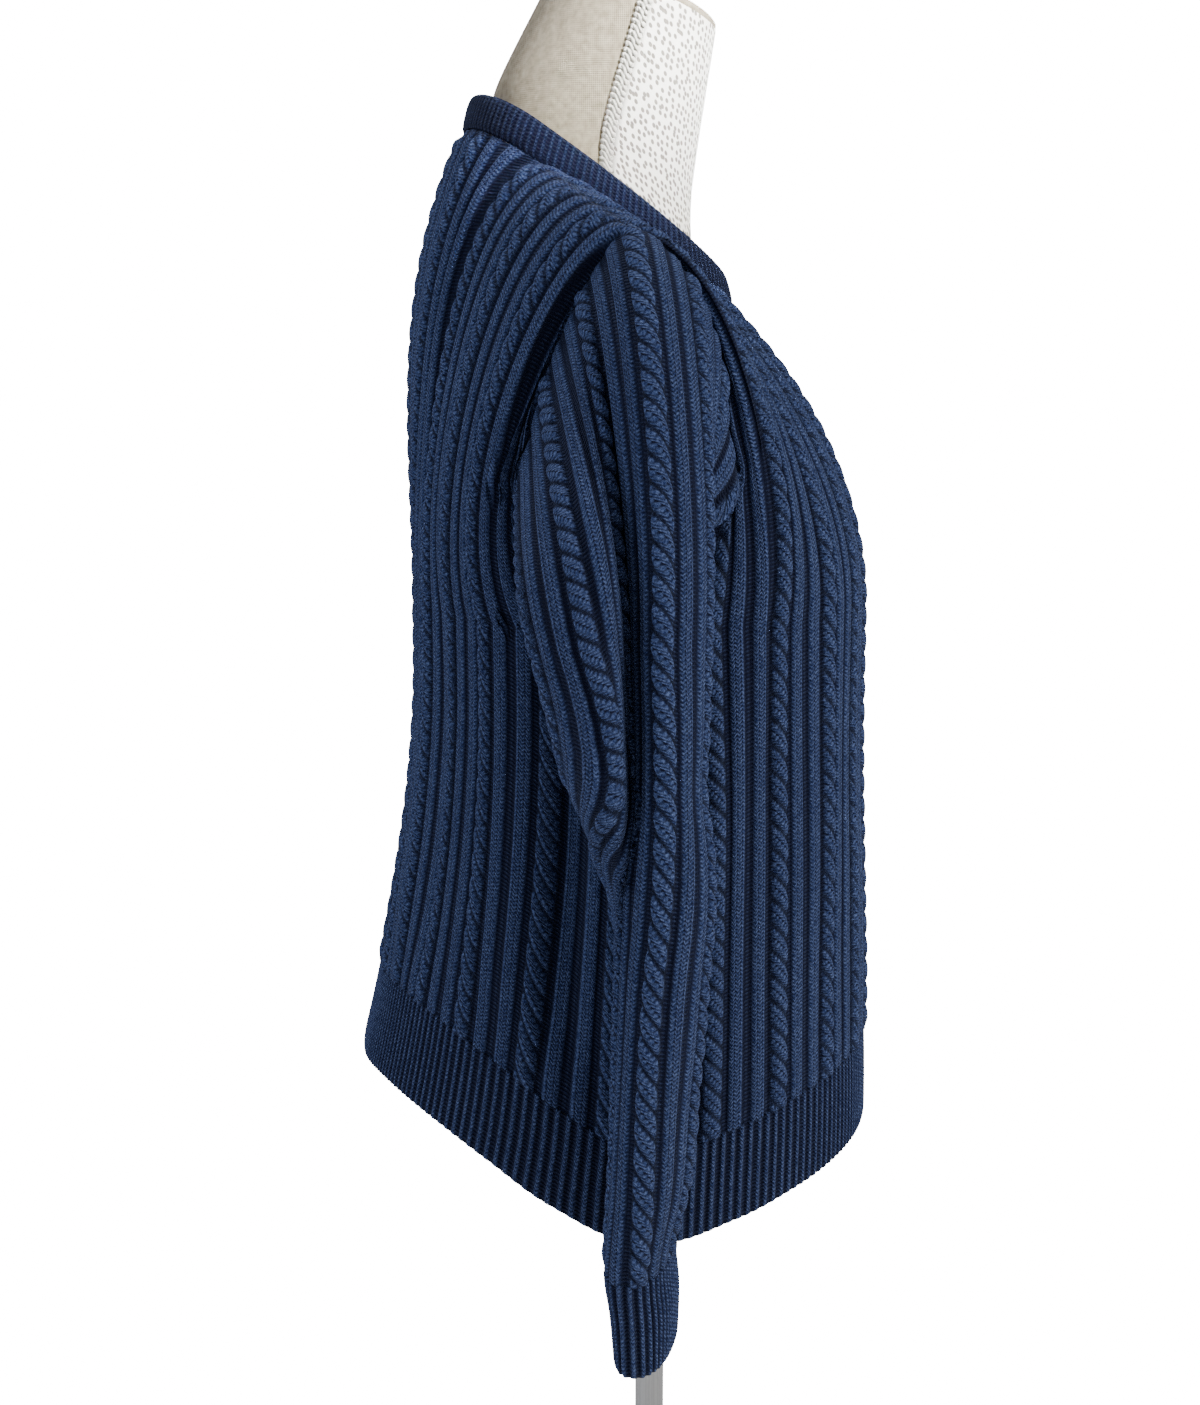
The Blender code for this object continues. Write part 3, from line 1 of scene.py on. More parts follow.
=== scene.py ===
import json
import math
import bpy
import numpy as np
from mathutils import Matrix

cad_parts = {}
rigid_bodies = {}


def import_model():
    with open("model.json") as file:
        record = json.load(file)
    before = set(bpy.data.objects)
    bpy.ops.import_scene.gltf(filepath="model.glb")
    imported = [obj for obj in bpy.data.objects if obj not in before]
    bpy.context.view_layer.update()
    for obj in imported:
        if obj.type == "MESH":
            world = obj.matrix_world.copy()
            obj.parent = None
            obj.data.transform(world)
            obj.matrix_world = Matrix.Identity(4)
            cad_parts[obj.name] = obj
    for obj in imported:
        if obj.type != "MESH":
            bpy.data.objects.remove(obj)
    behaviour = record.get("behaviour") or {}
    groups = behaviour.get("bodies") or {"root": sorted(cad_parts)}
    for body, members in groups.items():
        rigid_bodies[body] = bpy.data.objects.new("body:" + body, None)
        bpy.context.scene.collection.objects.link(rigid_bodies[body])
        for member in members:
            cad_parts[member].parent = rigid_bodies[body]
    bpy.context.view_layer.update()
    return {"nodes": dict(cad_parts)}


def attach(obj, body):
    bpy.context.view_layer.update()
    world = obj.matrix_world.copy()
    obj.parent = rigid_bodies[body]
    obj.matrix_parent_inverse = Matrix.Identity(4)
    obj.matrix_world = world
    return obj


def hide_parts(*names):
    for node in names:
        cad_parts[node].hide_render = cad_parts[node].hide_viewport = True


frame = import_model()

# A navy cable-knit pullover on a linen dress form. Metres; the front faces -Y, and the camera looks
# at the wearer's right side from -X. Every new piece is a grid of points, columns across and rows up.

fullTurn = 2 * math.pi


# A cubic through a table: its end slopes are the mean of the spans that meet; flat beyond the ends
def smoothCurve(at, known, values):
    order = np.argsort(known)
    known = np.asarray(known, float)[order]
    values = np.asarray(values, float)[order]
    spanSlope = np.diff(values) / np.diff(known)
    slope = np.concatenate([spanSlope[:1], (spanSlope[1:] + spanSlope[:-1]) / 2, spanSlope[-1:]])
    at = np.clip(at, known[0], known[-1])
    span = np.clip(np.searchsorted(known, at, side="right") - 1, 0, len(known) - 2)
    size = known[span + 1] - known[span]
    part = (at - known[span]) / size
    rise = values[span + 1] - values[span]
    near = part * (1 - part) ** 2 * size * slope[span]
    far = -part**2 * (1 - part) * size * slope[span + 1]
    return values[span] + rise * part**2 * (3 - 2 * part) + near + far


# 0 below 0, 1 above 1, and 3 t^2 - 2 t^3 between
def easeStep(value):
    value = np.clip(value, 0.0, 1.0)
    return value * value * (3 - 2 * value)


# a share that rises from low at the edge to 1 at a reach from it
def fadeFrom(low, distance, reach):
    return low + (1.0 - low) * easeStep(distance / reach)


# each vector divided by its own length
def unitOf(vectors):
    return vectors / np.maximum(np.linalg.norm(vectors, axis=-1, keepdims=True), 1e-12)


# running sum of the distances between neighbours along the last but one axis
def arcLength(points):
    steps = np.linalg.norm(np.diff(points, axis=-2), axis=-1)
    return np.concatenate([np.zeros(steps.shape[:-1] + (1,)), np.cumsum(steps, axis=-1)], axis=-1)


# values of a path at wanted distances, straight between its samples
def alongPath(path, lengths, wanted):
    return np.stack([np.interp(wanted, lengths, path[:, axis]) for axis in range(path.shape[1])], axis=-1)


# each column of a grid resampled at shares of its own length
def evenRows(grid, shares):
    lengths = arcLength(grid)
    rows = [alongPath(grid[i], lengths[i], shares * lengths[i, -1]) for i in range(len(grid))]
    return np.stack(rows), lengths[:, -1]


# the body as it hangs, by height: half width, front and back outline, and where the side seam lies;
# wales hang plumb up to chestZ, and the flat girth is measured at girthZ
bodyForm = {
    "chestZ": 0.640, "girthZ": 0.600, "squareness": 2.4,
    "z": (0.280, 0.330, 0.370, 0.455, 0.520, 0.580, 0.640, 0.680),
    "halfWidth": (0.187, 0.187, 0.187, 0.186, 0.185, 0.184, 0.183, 0.183),
    "front": (-0.1325, -0.1325, -0.1321, -0.1288, -0.1271, -0.1262, -0.1266, -0.1268),
    "back": (0.1860, 0.1780, 0.1662, 0.1480, 0.1375, 0.1322, 0.1315, 0.1314),
    "seam": (0.016, 0.014, 0.012, 0.010, 0.009, 0.010, 0.012, 0.014),
}


# rounded rectangle |x|^p + |y|^p = 1 scaled to the table; the angle runs 0 front, 90 side, 180 back
def bodySection(angle, z):
    size = {name: smoothCurve(z, bodyForm["z"], bodyForm[name])
            for name in ("halfWidth", "front", "back", "seam")}
    power = 2.0 / bodyForm["squareness"]
    depth = np.where(np.cos(angle) > 0, size["front"] - size["seam"], size["back"] - size["seam"])
    x = -size["halfWidth"] * np.abs(np.sin(angle)) ** power
    y = size["seam"] + depth * np.abs(np.cos(angle)) ** power
    return np.stack(np.broadcast_arrays(x, y, z), axis=-1)


# angle against distance along the girth, from centre front or centre back
def girthMap(fromBack):
    angles = np.linspace(0.0, math.pi / 2, 1500)
    turned = math.pi - angles if fromBack else angles
    return arcLength(bodySection(turned, bodyForm["girthZ"])), turned


# the hem's lower edge: it dips at the sides and lies higher at the back
hemLine = {
    "angle": (0, 38, 60, 75, 90, 104, 118, 135, 155, 180),
    "z": (0.341, 0.338, 0.329, 0.3185, 0.3095, 0.3295, 0.351, 0.367, 0.3735, 0.3665),
}


# height of the hem's lower edge at an angle round the body
def hemHeight(angle):
    return smoothCurve(np.degrees(np.abs(angle)), hemLine["angle"], hemLine["z"])


# the armhole's seam as a closed loop from the shoulder tip down the front, and the cloth's outward
# direction on it, by share of the loop
armholeLoop = {
    "x": (-0.195, -0.190, -0.183, -0.178, -0.178, -0.190, -0.172, -0.170, -0.175, -0.187),
    "y": (0.025, 0.004, -0.017, -0.027, -0.028, 0.020, 0.076, 0.073, 0.060, 0.041),
    "z": (0.839, 0.827, 0.795, 0.745, 0.708, 0.672, 0.705, 0.740, 0.783, 0.821),
}
armholeFaces = {
    "place": (-0.50, -0.45, -0.41, -0.36, -0.31, -0.25, -0.17, -0.10, -0.05,
              0.00, 0.06, 0.12, 0.20, 0.28, 0.34, 0.40, 0.46, 0.50),
    "x": (-0.15, -0.15, -0.20, -0.25, -0.37, -0.40, -0.40, -0.42, -0.40,
          -0.36, -0.45, -0.46, -0.50, -0.66, -0.60, -0.35, -0.20, -0.15),
    "y": (0.00, 0.40, 0.60, 0.78, 0.92, 0.90, 0.87, 0.78, 0.50,
          0.00, -0.62, -0.79, -0.86, -0.74, -0.72, -0.60, -0.30, 0.00),
    "z": (-0.98, -0.90, -0.78, -0.57, 0.05, 0.20, 0.30, 0.45, 0.76,
          0.93, 0.64, 0.42, 0.10, 0.00, -0.35, -0.72, -0.93, -0.98),
}


# point of the closed armhole curve at a share of its length, 0 at the shoulder tip
def armholePoint(place):
    loop = np.stack([armholeLoop[name] for name in ("x", "y", "z")], axis=-1)
    count = len(loop)
    wrapped = np.concatenate([loop[-3:], loop, loop[:4]])
    knots = np.arange(len(wrapped)) - 3.0
    denseAt = np.linspace(0.0, count, 600)
    dense = np.stack([smoothCurve(denseAt, knots, wrapped[:, axis]) for axis in range(3)], axis=-1)
    lengths = arcLength(dense)
    wanted = np.mod(place, 1.0) * lengths[-1]
    return np.stack([np.interp(wanted, lengths, dense[:, axis]) for axis in range(3)], axis=-1)


# direction of the armhole curve, from two points just before and after
def armholeAlong(place):
    return unitOf(armholePoint(place + 0.002) - armholePoint(place - 0.002))


# outward direction of the cloth on the armhole, made square to the seam
def armholeFace(place):
    wrapped = np.mod(np.asarray(place) + 0.5, 1.0) - 0.5
    face = [smoothCurve(wrapped, armholeFaces["place"], armholeFaces[name]) for name in ("x", "y", "z")]
    face = np.stack(face, axis=-1)
    along = armholeAlong(place)
    return unitOf(face - along * np.sum(along * face, axis=-1, keepdims=True))


# direction from the panel to the sleeve: along x face, turned to point away from the body
def armholeOutwards(place):
    outwards = unitOf(np.cross(armholeAlong(place), armholeFace(place)))
    return outwards * np.where(outwards[..., :1] < 0, 1.0, -1.0)


neckline = {"frontY": -0.0535, "frontZ": 0.809, "backY": 0.1015, "slope": 0.640, "sideAt": 0.749,
            "halfWidth": 0.079, "roundness": 2.2, "evenness": 0.6,
            "faceTurn": 2.2, "faceMiddle": 0.55, "faceRise": 0.35, "sideRise": 0.25}


# point of the neckline: an egg in a rising plane, 0 centre front and 1 centre back
def necklinePoint(place):
    sideAt = neckline["sideAt"]
    frontPart = (sideAt - place) / sideAt
    backPart = (place - sideAt) / (1.0 - sideAt)
    part = np.clip(np.where(place < sideAt, frontPart, backPart), 0.0, 1.0)
    x = -neckline["halfWidth"] * (1.0 - part ** neckline["roundness"]) ** (1.0 / neckline["roundness"])
    y = neckline["frontY"] + (neckline["backY"] - neckline["frontY"]) * place
    z = neckline["frontZ"] + neckline["slope"] * (y - neckline["frontY"])
    return np.stack(np.broadcast_arrays(x, y, z), axis=-1)


# neckline place for a share of the panel's neck width
def neckPlace(share, fromBack):
    even = neckline["evenness"]
    angle = even * share * math.pi / 2 + (1 - even) * np.arcsin(np.clip(share, 0.0, 1.0))
    reach = 1.0 - np.cos(angle) ** (2.0 / neckline["roundness"])
    if fromBack:
        return 1.0 - (1.0 - neckline["sideAt"]) * reach
    return neckline["sideAt"] * reach


# outward direction of the cloth on the neckline, leaning up more at the sides
def neckFace(place):
    point = necklinePoint(place)
    outward = np.zeros_like(point)
    outward[..., 0] = point[..., 0] / neckline["halfWidth"]
    outward[..., 1] = neckline["faceTurn"] * (np.asarray(place) - neckline["faceMiddle"])
    outward = unitOf(outward)
    sideShare = np.abs(point[..., 0]) / neckline["halfWidth"]
    outward[..., 2] = neckline["faceRise"] + neckline["sideRise"] * sideShare
    return unitOf(outward)


# where a panel's top edge changes, by flat distance from the centre: neck, shoulder tip, armhole
panelTop = {"frontNeck": 0.086, "frontTip": 0.200, "backNeck": 0.072, "backTip": 0.170, "spread": 0.6,
            "shoulderFace": (-0.36, 0.0, 0.93)}
# the direction, pull and lean with which the cloth reaches that edge, and its pull off the chest: place
# 0 to 1 is the neckline, 1 to 2 the shoulder and 2 to 3 the armhole
frontEdge = {
    "place": (0.0, 0.5, 1.0, 1.5, 2.0, 2.2, 2.5, 2.6, 2.8, 3.0),
    "x": (0.0, 0.0, 0.0, 0.0, -0.05, -0.18, -0.12, -0.15, -0.25, -0.50),
    "y": (0.60, 0.62, 0.88, 0.93, 0.98, 0.60, 0.25, 0.15, 0.00, 0.00),
    "z": (0.80, 0.78, 0.47, 0.36, 0.18, 0.78, 0.96, 0.97, 0.97, 0.85),
    "pull": (0.55, 0.50, 0.5, 0.6, 0.8, 0.6, 0.5, 0.5, 0.5, 0.5),
    "lean": (0.0, 0.0, 0.0, -0.04, -0.16, -0.12, -0.18, -0.16, 0.0, 0.0),
    "chest": (1.45, 1.45, 1.25, 1.1, 1.0, 1.0, 1.0, 1.0, 1.0, 1.0),
}
backEdge = {
    "place": (0.0, 0.5, 0.8, 1.0, 1.5, 2.0, 2.2, 2.5, 2.65, 2.8, 3.0),
    "x": (0.0, 0.0, 0.0, 0.0, 0.0, -0.05, -0.30, -0.15, -0.18, -0.25, -0.50),
    "y": (-0.42, -0.44, -0.62, -0.90, -0.95, -0.98, -0.60, -0.50, -0.30, 0.0, 0.0),
    "z": (0.91, 0.90, 0.78, 0.30, 0.05, -0.05, 0.75, 0.85, 0.93, 0.97, 0.85),
    "pull": (1.15, 1.15, 0.85, 0.6, 0.55, 0.5, 0.5, 0.6, 0.5, 0.5, 0.5),
    "lean": (0.0, 0.0, 0.0, 0.02, 0.16, 0.36, 0.44, 0.72, 0.50, 0.10, 0.0),
    "chest": (1.0,) * 11,
}


# top edge of a panel by flat distance: neckline, then shoulder, then armhole, with how cloth arrives
def panelEdge(distance, halfWidth, fromBack):
    neckWidth = panelTop["backNeck"] if fromBack else panelTop["frontNeck"]
    tipWidth = panelTop["backTip"] if fromBack else panelTop["frontTip"]
    neckShare = distance / neckWidth
    shoulderShare = (distance - neckWidth) / (tipWidth - neckWidth)
    armShare = np.clip((distance - tipWidth) / (halfWidth - tipWidth), 0.0, 1.0) ** panelTop["spread"]
    sidePoint = necklinePoint(np.array(neckline["sideAt"]))
    tipPoint = armholePoint(np.array(0.0))
    place = neckPlace(np.clip(neckShare, 0.0, 1.0), fromBack)
    armPlace = (-0.5 if fromBack else 0.5) * armShare
    onShoulder = sidePoint + (tipPoint - sidePoint) * np.clip(shoulderShare, 0, 1)[..., None]
    sideFace = neckFace(np.array(neckline["sideAt"]))
    tipFace = armholeFace(np.array(0.0))
    middle = np.clip(4.0 * shoulderShare * (1.0 - shoulderShare), 0.0, 1.0) ** 0.5
    line = sideFace + (tipFace - sideFace) * np.clip(shoulderShare, 0, 1)[..., None]
    shoulderFace = unitOf(line + (np.array(panelTop["shoulderFace"]) - line) * middle[..., None])
    onNeck = (distance <= neckWidth)[..., None]
    onArm = (distance >= tipWidth)[..., None]
    armPoint = armholePoint(armPlace) - armholeOutwards(armPlace) * sleeveForm["setOut"]
    point = np.where(onNeck, necklinePoint(place), np.where(onArm, armPoint, onShoulder))
    face = np.where(onNeck, neckFace(place), np.where(onArm, armholeFace(armPlace), shoulderFace))
    edgePlace = np.where(distance < neckWidth, neckShare,
                         np.where(distance < tipWidth, 1.0 + shoulderShare, 2.0 + armShare))
    table = backEdge if fromBack else frontEdge
    value = {name: np.interp(edgePlace, table["place"], table[name]) for name in table if name != "place"}
    direction = unitOf(np.stack([value["x"], value["y"], value["z"]], axis=-1))
    return point, direction * value["pull"][:, None], face, value["lean"], value["chest"]


# cubic between two points with given leaving and arriving directions
def bridge(start, leave, end, arrive, samples):
    part = np.linspace(0.0, 1.0, samples)[None, :, None]
    chord = np.linalg.norm(end - start, axis=-1, keepdims=True)[:, None, :]
    shape = (2 * part**3 - 3 * part**2 + 1) * start[:, None, :]
    shape = shape + (3 * part**2 - 2 * part**3) * end[:, None, :]
    shape = shape + (part**3 - 2 * part**2 + part) * chord * leave[:, None, :]
    return shape + (part**3 - part**2) * chord * arrive[:, None, :]


# how wales are kept outside the armhole: their lean, the push's softness, and where it fades
armholeRoom = {"lean": 0.09, "softness": 0.001, "startRise": 0.020, "climb": 0.008, "endFall": 0.012}


# pushes wales that would cut across the armhole to its outside, softly
def keepOffArmhole(paths, fromBack):
    outward = 1.0 if fromBack else -1.0
    loop = armholePoint(np.linspace(0.5, 0.0, 200) * -outward)
    loopY = np.interp(paths[..., 2], loop[:, 2], loop[:, 1])
    climb = np.maximum(paths[:, -1:, 2] - paths[..., 2], 0.0)
    wanted = loopY * outward + armholeRoom["lean"] * climb - paths[..., 1] * outward
    push = (wanted + np.sqrt(wanted**2 + armholeRoom["softness"] ** 2)) / 2
    inside = easeStep((paths[..., 2] - loop[0, 2]) / armholeRoom["startRise"])
    inside = inside * easeStep(climb / armholeRoom["climb"])
    inside = inside * easeStep((loop[-1, 2] - paths[..., 2]) / armholeRoom["endFall"])
    moved = paths.copy()
    moved[..., 1] += push * inside * outward
    return moved


# seamGap is below zero: panels and bands overlap a little, so that no light shows through a seam
cloth = {"wall": 0.002, "facing": 0.012, "bandHeight": 0.052, "seamGap": -0.0002, "seamFade": 0.007,
         "sideFade": 0.004, "topTurn": 0.012, "sideTurn": 0.010}


# wales of a panel from the hem band to its top edge: plumb to the chest, then a cubic to the edge
def panelBase(flatWidths, fromBack, samples):
    lengths, angles = girthMap(fromBack)
    distance = np.abs(flatWidths)
    angle = np.interp(distance, lengths, angles)
    low = hemHeight(angle) + cloth["bandHeight"] + cloth["seamGap"]
    part = np.linspace(0.0, 1.0, samples)
    heights = low[:, None] + (bodyForm["chestZ"] - low)[:, None] * part[None, :]
    lower = bodySection(angle[:, None], heights)
    justBelow = bodySection(angle, np.full_like(angle, bodyForm["chestZ"] - 0.002))
    leave = unitOf(lower[:, -1] - justBelow)
    edge, arrive, face, lean, chest = panelEdge(distance, lengths[-1], fromBack)
    leave[:, 1] += lean
    upper = keepOffArmhole(bridge(lower[:, -1], leave * chest[:, None], edge, arrive, samples), fromBack)
    points = np.concatenate([lower, upper[:, 1:]], axis=1)
    mirror = np.where(flatWidths > 0, -1.0, 1.0)
    points[..., 0] *= mirror[:, None]
    face[..., 0] *= mirror
    return points, face


# outward directions of a grid [column, row] from its own neighbours
def gridFaces(points, across):
    return unitOf(np.cross(np.gradient(points, across, axis=0), np.gradient(points, axis=1)))


# outward directions turned straight sideways over the last stretch before a side seam
def turnSideways(faces, u, toSide, share=1.0):
    sideways = np.zeros_like(faces)
    sideways[..., 0] = np.where(u > 0, 1.0, -1.0)
    near = (1.0 - easeStep(toSide / cloth["sideTurn"]))[..., None] * share
    return unitOf(faces * (1 - near) + sideways * near)


sleeveForm = {"squareness": 2.3, "creaseWidth": 0.0065, "cuffTopZ": 0.3265, "cuffLowZ": 0.2775,
              "bicepZ": 0.640, "capEase": 0.72, "setOut": 0.0004}
# the sleeve's outline by height, where its centre cable and its crease lie, the crease's depth, and
# how far the section is skewed
sleeveSections = {
    "z": (0.640, 0.598, 0.566, 0.537, 0.510, 0.480, 0.445, 0.410, 0.372, 0.341, 0.326, 0.305, 0.275),
    "inner": (-0.200, -0.200, -0.200, -0.200, -0.200, -0.200, -0.201, -0.201, -0.202, -0.204,
              -0.206, -0.208, -0.209),
    "outer": (-0.276, -0.280, -0.283, -0.284, -0.285, -0.286, -0.286, -0.285, -0.284, -0.282,
              -0.279, -0.277, -0.276),
    "front": (-0.0075, -0.0060, -0.0045, -0.0083, -0.0100, -0.0098, -0.0090, -0.0072, -0.0052,
              0.0020, 0.0040, 0.0025, 0.0035),
    "back": (0.0774, 0.0658, 0.0579, 0.0462, 0.0372, 0.0364, 0.0375, 0.0388, 0.0405, 0.0425,
             0.0430, 0.0400, 0.0372),
    "cable": (0.0173, 0.0165, 0.0165, 0.0172, 0.0190, 0.0222, 0.0245, 0.0258, 0.0268, 0.0280,
              0.0285, 0.0270, 0.0260),
    "crease": (0.0310, 0.0305, 0.0305, 0.0315, 0.0335, 0.0340, 0.0340, 0.0340, 0.0340, 0.0340,
               0.0340, 0.0340, 0.0340),
    "depth": (0.032, 0.030, 0.024, 0.013, 0.004, 0.0, 0.0, 0.0, 0.0, 0.0, 0.0, 0.0, 0.0),
    "skew": (0.0, 0.0, 0.0, 0.0, 0.03, 0.08, 0.13, 0.18, 0.22, 0.26, 0.28, 0.28, 0.28),
}


# closed ring of the sleeve at a height, equally spaced from the centre cable round by the front
def sleeveRing(z, count=720):
    size = {name: float(smoothCurve(np.array(z), sleeveSections["z"], sleeveSections[name]))
            for name in sleeveSections if name != "z"}
    angle = np.linspace(0.0, fullTurn, count + 1)
    power = 2.0 / sleeveForm["squareness"]
    reachX = np.sign(np.cos(angle)) * np.abs(np.cos(angle)) ** power
    reachY = np.sign(np.sin(angle)) * np.abs(np.sin(angle)) ** power
    halfX = (size["inner"] - size["outer"]) / 2
    halfY = (size["back"] - size["front"]) / 2 - 0.5 * size["skew"] * halfX
    x = (size["inner"] + size["outer"]) / 2 - halfX * reachX
    y = (size["front"] + size["back"]) / 2 - halfY * reachY + size["skew"] * halfX * reachX
    crease = np.exp(-(((y - size["crease"]) / sleeveForm["creaseWidth"]) ** 2))
    x = x + size["depth"] * crease * easeStep(reachX)
    ring = np.stack([x, y, np.full_like(x, z)], axis=-1)
    start = int(np.argmin(np.abs(y - size["cable"]) + np.where(np.cos(angle) > 0, 0.0, 1.0)))
    ring = np.concatenate([ring[start:-1], ring[: start + 1]])
    lengths = arcLength(ring)
    return alongPath(ring, lengths, np.linspace(0.0, lengths[-1], count + 1)), lengths[-1]


# points of the sleeve at shares (-1..1) of half its girth
def sleevePoints(shares, z):
    ring = sleeveRing(z)[0]
    return alongPath(ring, np.arange(len(ring)), np.mod(shares / 2, 1.0) * (len(ring) - 1))


# one repeat of the knit, side by side: a four-stitch cable, ground, a two-wale rib either side, ground
pattern = {"repeat": 0.0385, "cableHalf": 0.0053, "cableHeight": 0.0042, "cableEdge": 0.0008,
           "crossing": 0.0138, "slant": 1.35, "lobeWidth": 0.80, "lobeLength": 0.66, "lobePower": 0.6,
           "strandWidth": 0.0060, "ribAt": 0.0127, "ribHalf": 0.0042, "ribHeight": 0.0022, "ribEdge": 0.0007,
           "ribGroove": 0.30, "grooveHalf": 0.0005, "groundBow": 0.0005, "hollowDepth": 0.0022,
           "cableSteps": 12, "ribSteps": 3, "gapSteps": 4, "groundSteps": 2, "edgeClear": 0.0004}


# height of a rope cable and the position across its strand: slanted lobes, each an ellipsoid
# 1 - width x across^2 - length x along^2 to a power, whose ends leave notches at the cable's edges
def cableHeight(cell, up, twist):
    turns = (up + twist * pattern["slant"] * cell) / pattern["crossing"]
    along = 2.0 * (turns - np.floor(turns) - 0.5)
    across = cell / pattern["cableHalf"]
    lobe = np.clip(1.0 - pattern["lobeWidth"] * across**2 - pattern["lobeLength"] * along**2, 0.01, 1.0)
    local = along * pattern["strandWidth"] / 2 + yarn["wale"]
    return pattern["cableHeight"] * lobe ** pattern["lobePower"], local


# relief at flat place u and length v: cable, two-wale ribs and the purl ground between them
def knitRelief(u, v, twist):
    repeat = pattern["repeat"]
    cell = u - repeat * np.round(u / repeat)
    cable, cableLocal = cableHeight(cell, v, twist)
    fromRib = np.abs(cell) - pattern["ribAt"]
    ribAway = fromRib / pattern["ribHalf"]
    ribShape = np.sqrt(np.clip(1.0 - ribAway**2, 0.0, 1.0))
    fromGroove = ribAway * pattern["ribHalf"] / pattern["grooveHalf"]
    groove = 1.0 - pattern["ribGroove"] * np.exp(-(fromGroove**2))
    rib = pattern["ribHeight"] * ribShape * groove
    onCable = easeStep((pattern["cableHalf"] - np.abs(cell)) / pattern["cableEdge"] + 0.5)
    onRib = easeStep((pattern["ribHalf"] - np.abs(fromRib)) / pattern["ribEdge"] + 0.5)
    ground = -pattern["groundBow"] * (1 - onCable) * (1 - onRib)
    height = cable * onCable + rib + ground
    local = np.where(onCable > 0.5, cableLocal, fromRib + yarn["wale"] / 2)
    return height, np.maximum(onCable, onRib), local


# how far a grid's relief stands over its surroundings, from 0 in a hollow to 1 on a ridge: its height
# less the mean of its neighbours' heights up to two steps away, over a fixed depth; the yarn paints
# shade into the hollows and light onto the ridges by it
def standOut(height, closedAcross=False):
    steps = (-2, -1, 0, 1, 2)
    columns, rows = height.shape
    total = np.zeros_like(height)
    for across in steps:
        source = np.arange(columns) - across
        known = closedAcross | ((source >= 0) & (source < columns))
        for along in steps:
            moved = np.where(known[:, None], np.roll(height, across, axis=0), height)
            moved = np.roll(moved, along, axis=1)
            moved[:, :abs(along)] = height[:, :abs(along)]
            moved[:, rows - abs(along):] = height[:, rows - abs(along):]
            total += moved
    return np.clip(0.5 + (height - total / len(steps) ** 2) / pattern["hollowDepth"], 0.0, 1.0)


# sum of long soft ridges and hollows: a bell across the slanted line times a bell along it
def foldHeight(u, v, folds):
    total = np.zeros(np.broadcast(u, v).shape)
    for i in range(len(folds["u"])):
        across = (u - folds["u"][i] - folds["slant"][i] * (v - folds["v"][i])) / folds["acrossReach"][i]
        along = (v - folds["v"][i]) / folds["upReach"][i]
        total = total + folds["height"][i] * np.exp(-(across**2) - along**4)
    return total


# flat places where a patterned piece has columns, denser on the raised wales
def patternColumns(low, high, step):
    half = pattern["cableHalf"]
    ribAt = pattern["ribAt"]
    ribHalf = pattern["ribHalf"]
    cablePlaces = np.linspace(-half, half, int(round(pattern["cableSteps"] / step)) + 1)
    ribPlaces = np.linspace(-ribHalf, ribHalf, 2 * int(round(pattern["ribSteps"] / step)) + 1)
    gaps = np.linspace(half, ribAt - ribHalf, int(round(pattern["gapSteps"] / step)) + 1)[1:-1]
    groundCount = int(round(pattern["groundSteps"] / step)) + 1
    ground = np.linspace(ribAt + ribHalf, pattern["repeat"] / 2, groundCount)[1:]
    right = np.concatenate([gaps, ribAt + ribPlaces, ground])
    cell = np.concatenate([-right[::-1], cablePlaces, right[:-1]])
    repeats = np.arange(math.floor(low / pattern["repeat"]) - 1, math.ceil(high / pattern["repeat"]) + 2)
    places = (repeats[:, None] * pattern["repeat"] + cell[None, :]).ravel()
    places = places[(places > low + pattern["edgeClear"]) & (places < high - pattern["edgeClear"])]
    return np.concatenate([[low], np.unique(np.round(places, 7)), [high]])


# object from whole arrays of points and four-sided faces
def meshPiece(name, points, quads, flat, extra):
    mesh = bpy.data.meshes.new(name)
    mesh.vertices.add(len(points))
    mesh.vertices.foreach_set("co", np.ascontiguousarray(points, dtype=np.float32).ravel())
    mesh.loops.add(quads.size)
    mesh.loops.foreach_set("vertex_index", quads.ravel().astype(np.int32))
    mesh.polygons.add(len(quads))
    mesh.polygons.foreach_set("loop_start", np.arange(0, quads.size, 4, dtype=np.int32))
    layer = mesh.uv_layers.new(name="UVMap")
    layer.data.foreach_set("uv", flat[quads.ravel()].astype(np.float32).ravel())
    for key, value in extra.items():
        data = mesh.attributes.new(key, "FLOAT", "POINT")
        data.data.foreach_set("value", value.astype(np.float32))
    mesh.polygons.foreach_set("use_smooth", np.ones(len(quads), dtype=bool))
    mesh.update(calc_edges=True)
    mesh.validate()
    item = bpy.data.objects.new(name, mesh)
    bpy.context.scene.collection.objects.link(item)
    return item


# one mesh from a grid of points, with its flat coordinates and knit attributes on the vertices
def gridPiece(name, points, flat, extra, closedAcross=False, flip=False):
    columns, rows = points.shape[:2]
    index = np.arange(columns * rows).reshape(columns, rows)
    nextColumn = np.roll(index, -1, axis=0) if closedAcross else index[1:]
    thisColumn = index if closedAcross else index[:-1]
    quads = np.stack([thisColumn[:, :-1], nextColumn[:, :-1], nextColumn[:, 1:], thisColumn[:, 1:]], axis=-1)
    quads = quads.reshape(-1, 4)
    if flip:
        quads = quads[:, ::-1]
    return meshPiece(name, points.reshape(-1, 3), quads, flat.reshape(-1, 2),
                     {key: value.ravel() for key, value in extra.items()})


# a wall from the grid of its outside: each end of an axis is turned in, round the edge and then along
# the inside as far as its facing reaches, which is columns or rows low and high of the grid
def turnedEnds(grid, inside, low, high, axis):
    first = np.take(inside, (low, 0), axis=axis)
    last = np.take(inside, (-1, high), axis=axis)
    return np.concatenate([first, grid, last], axis=axis)


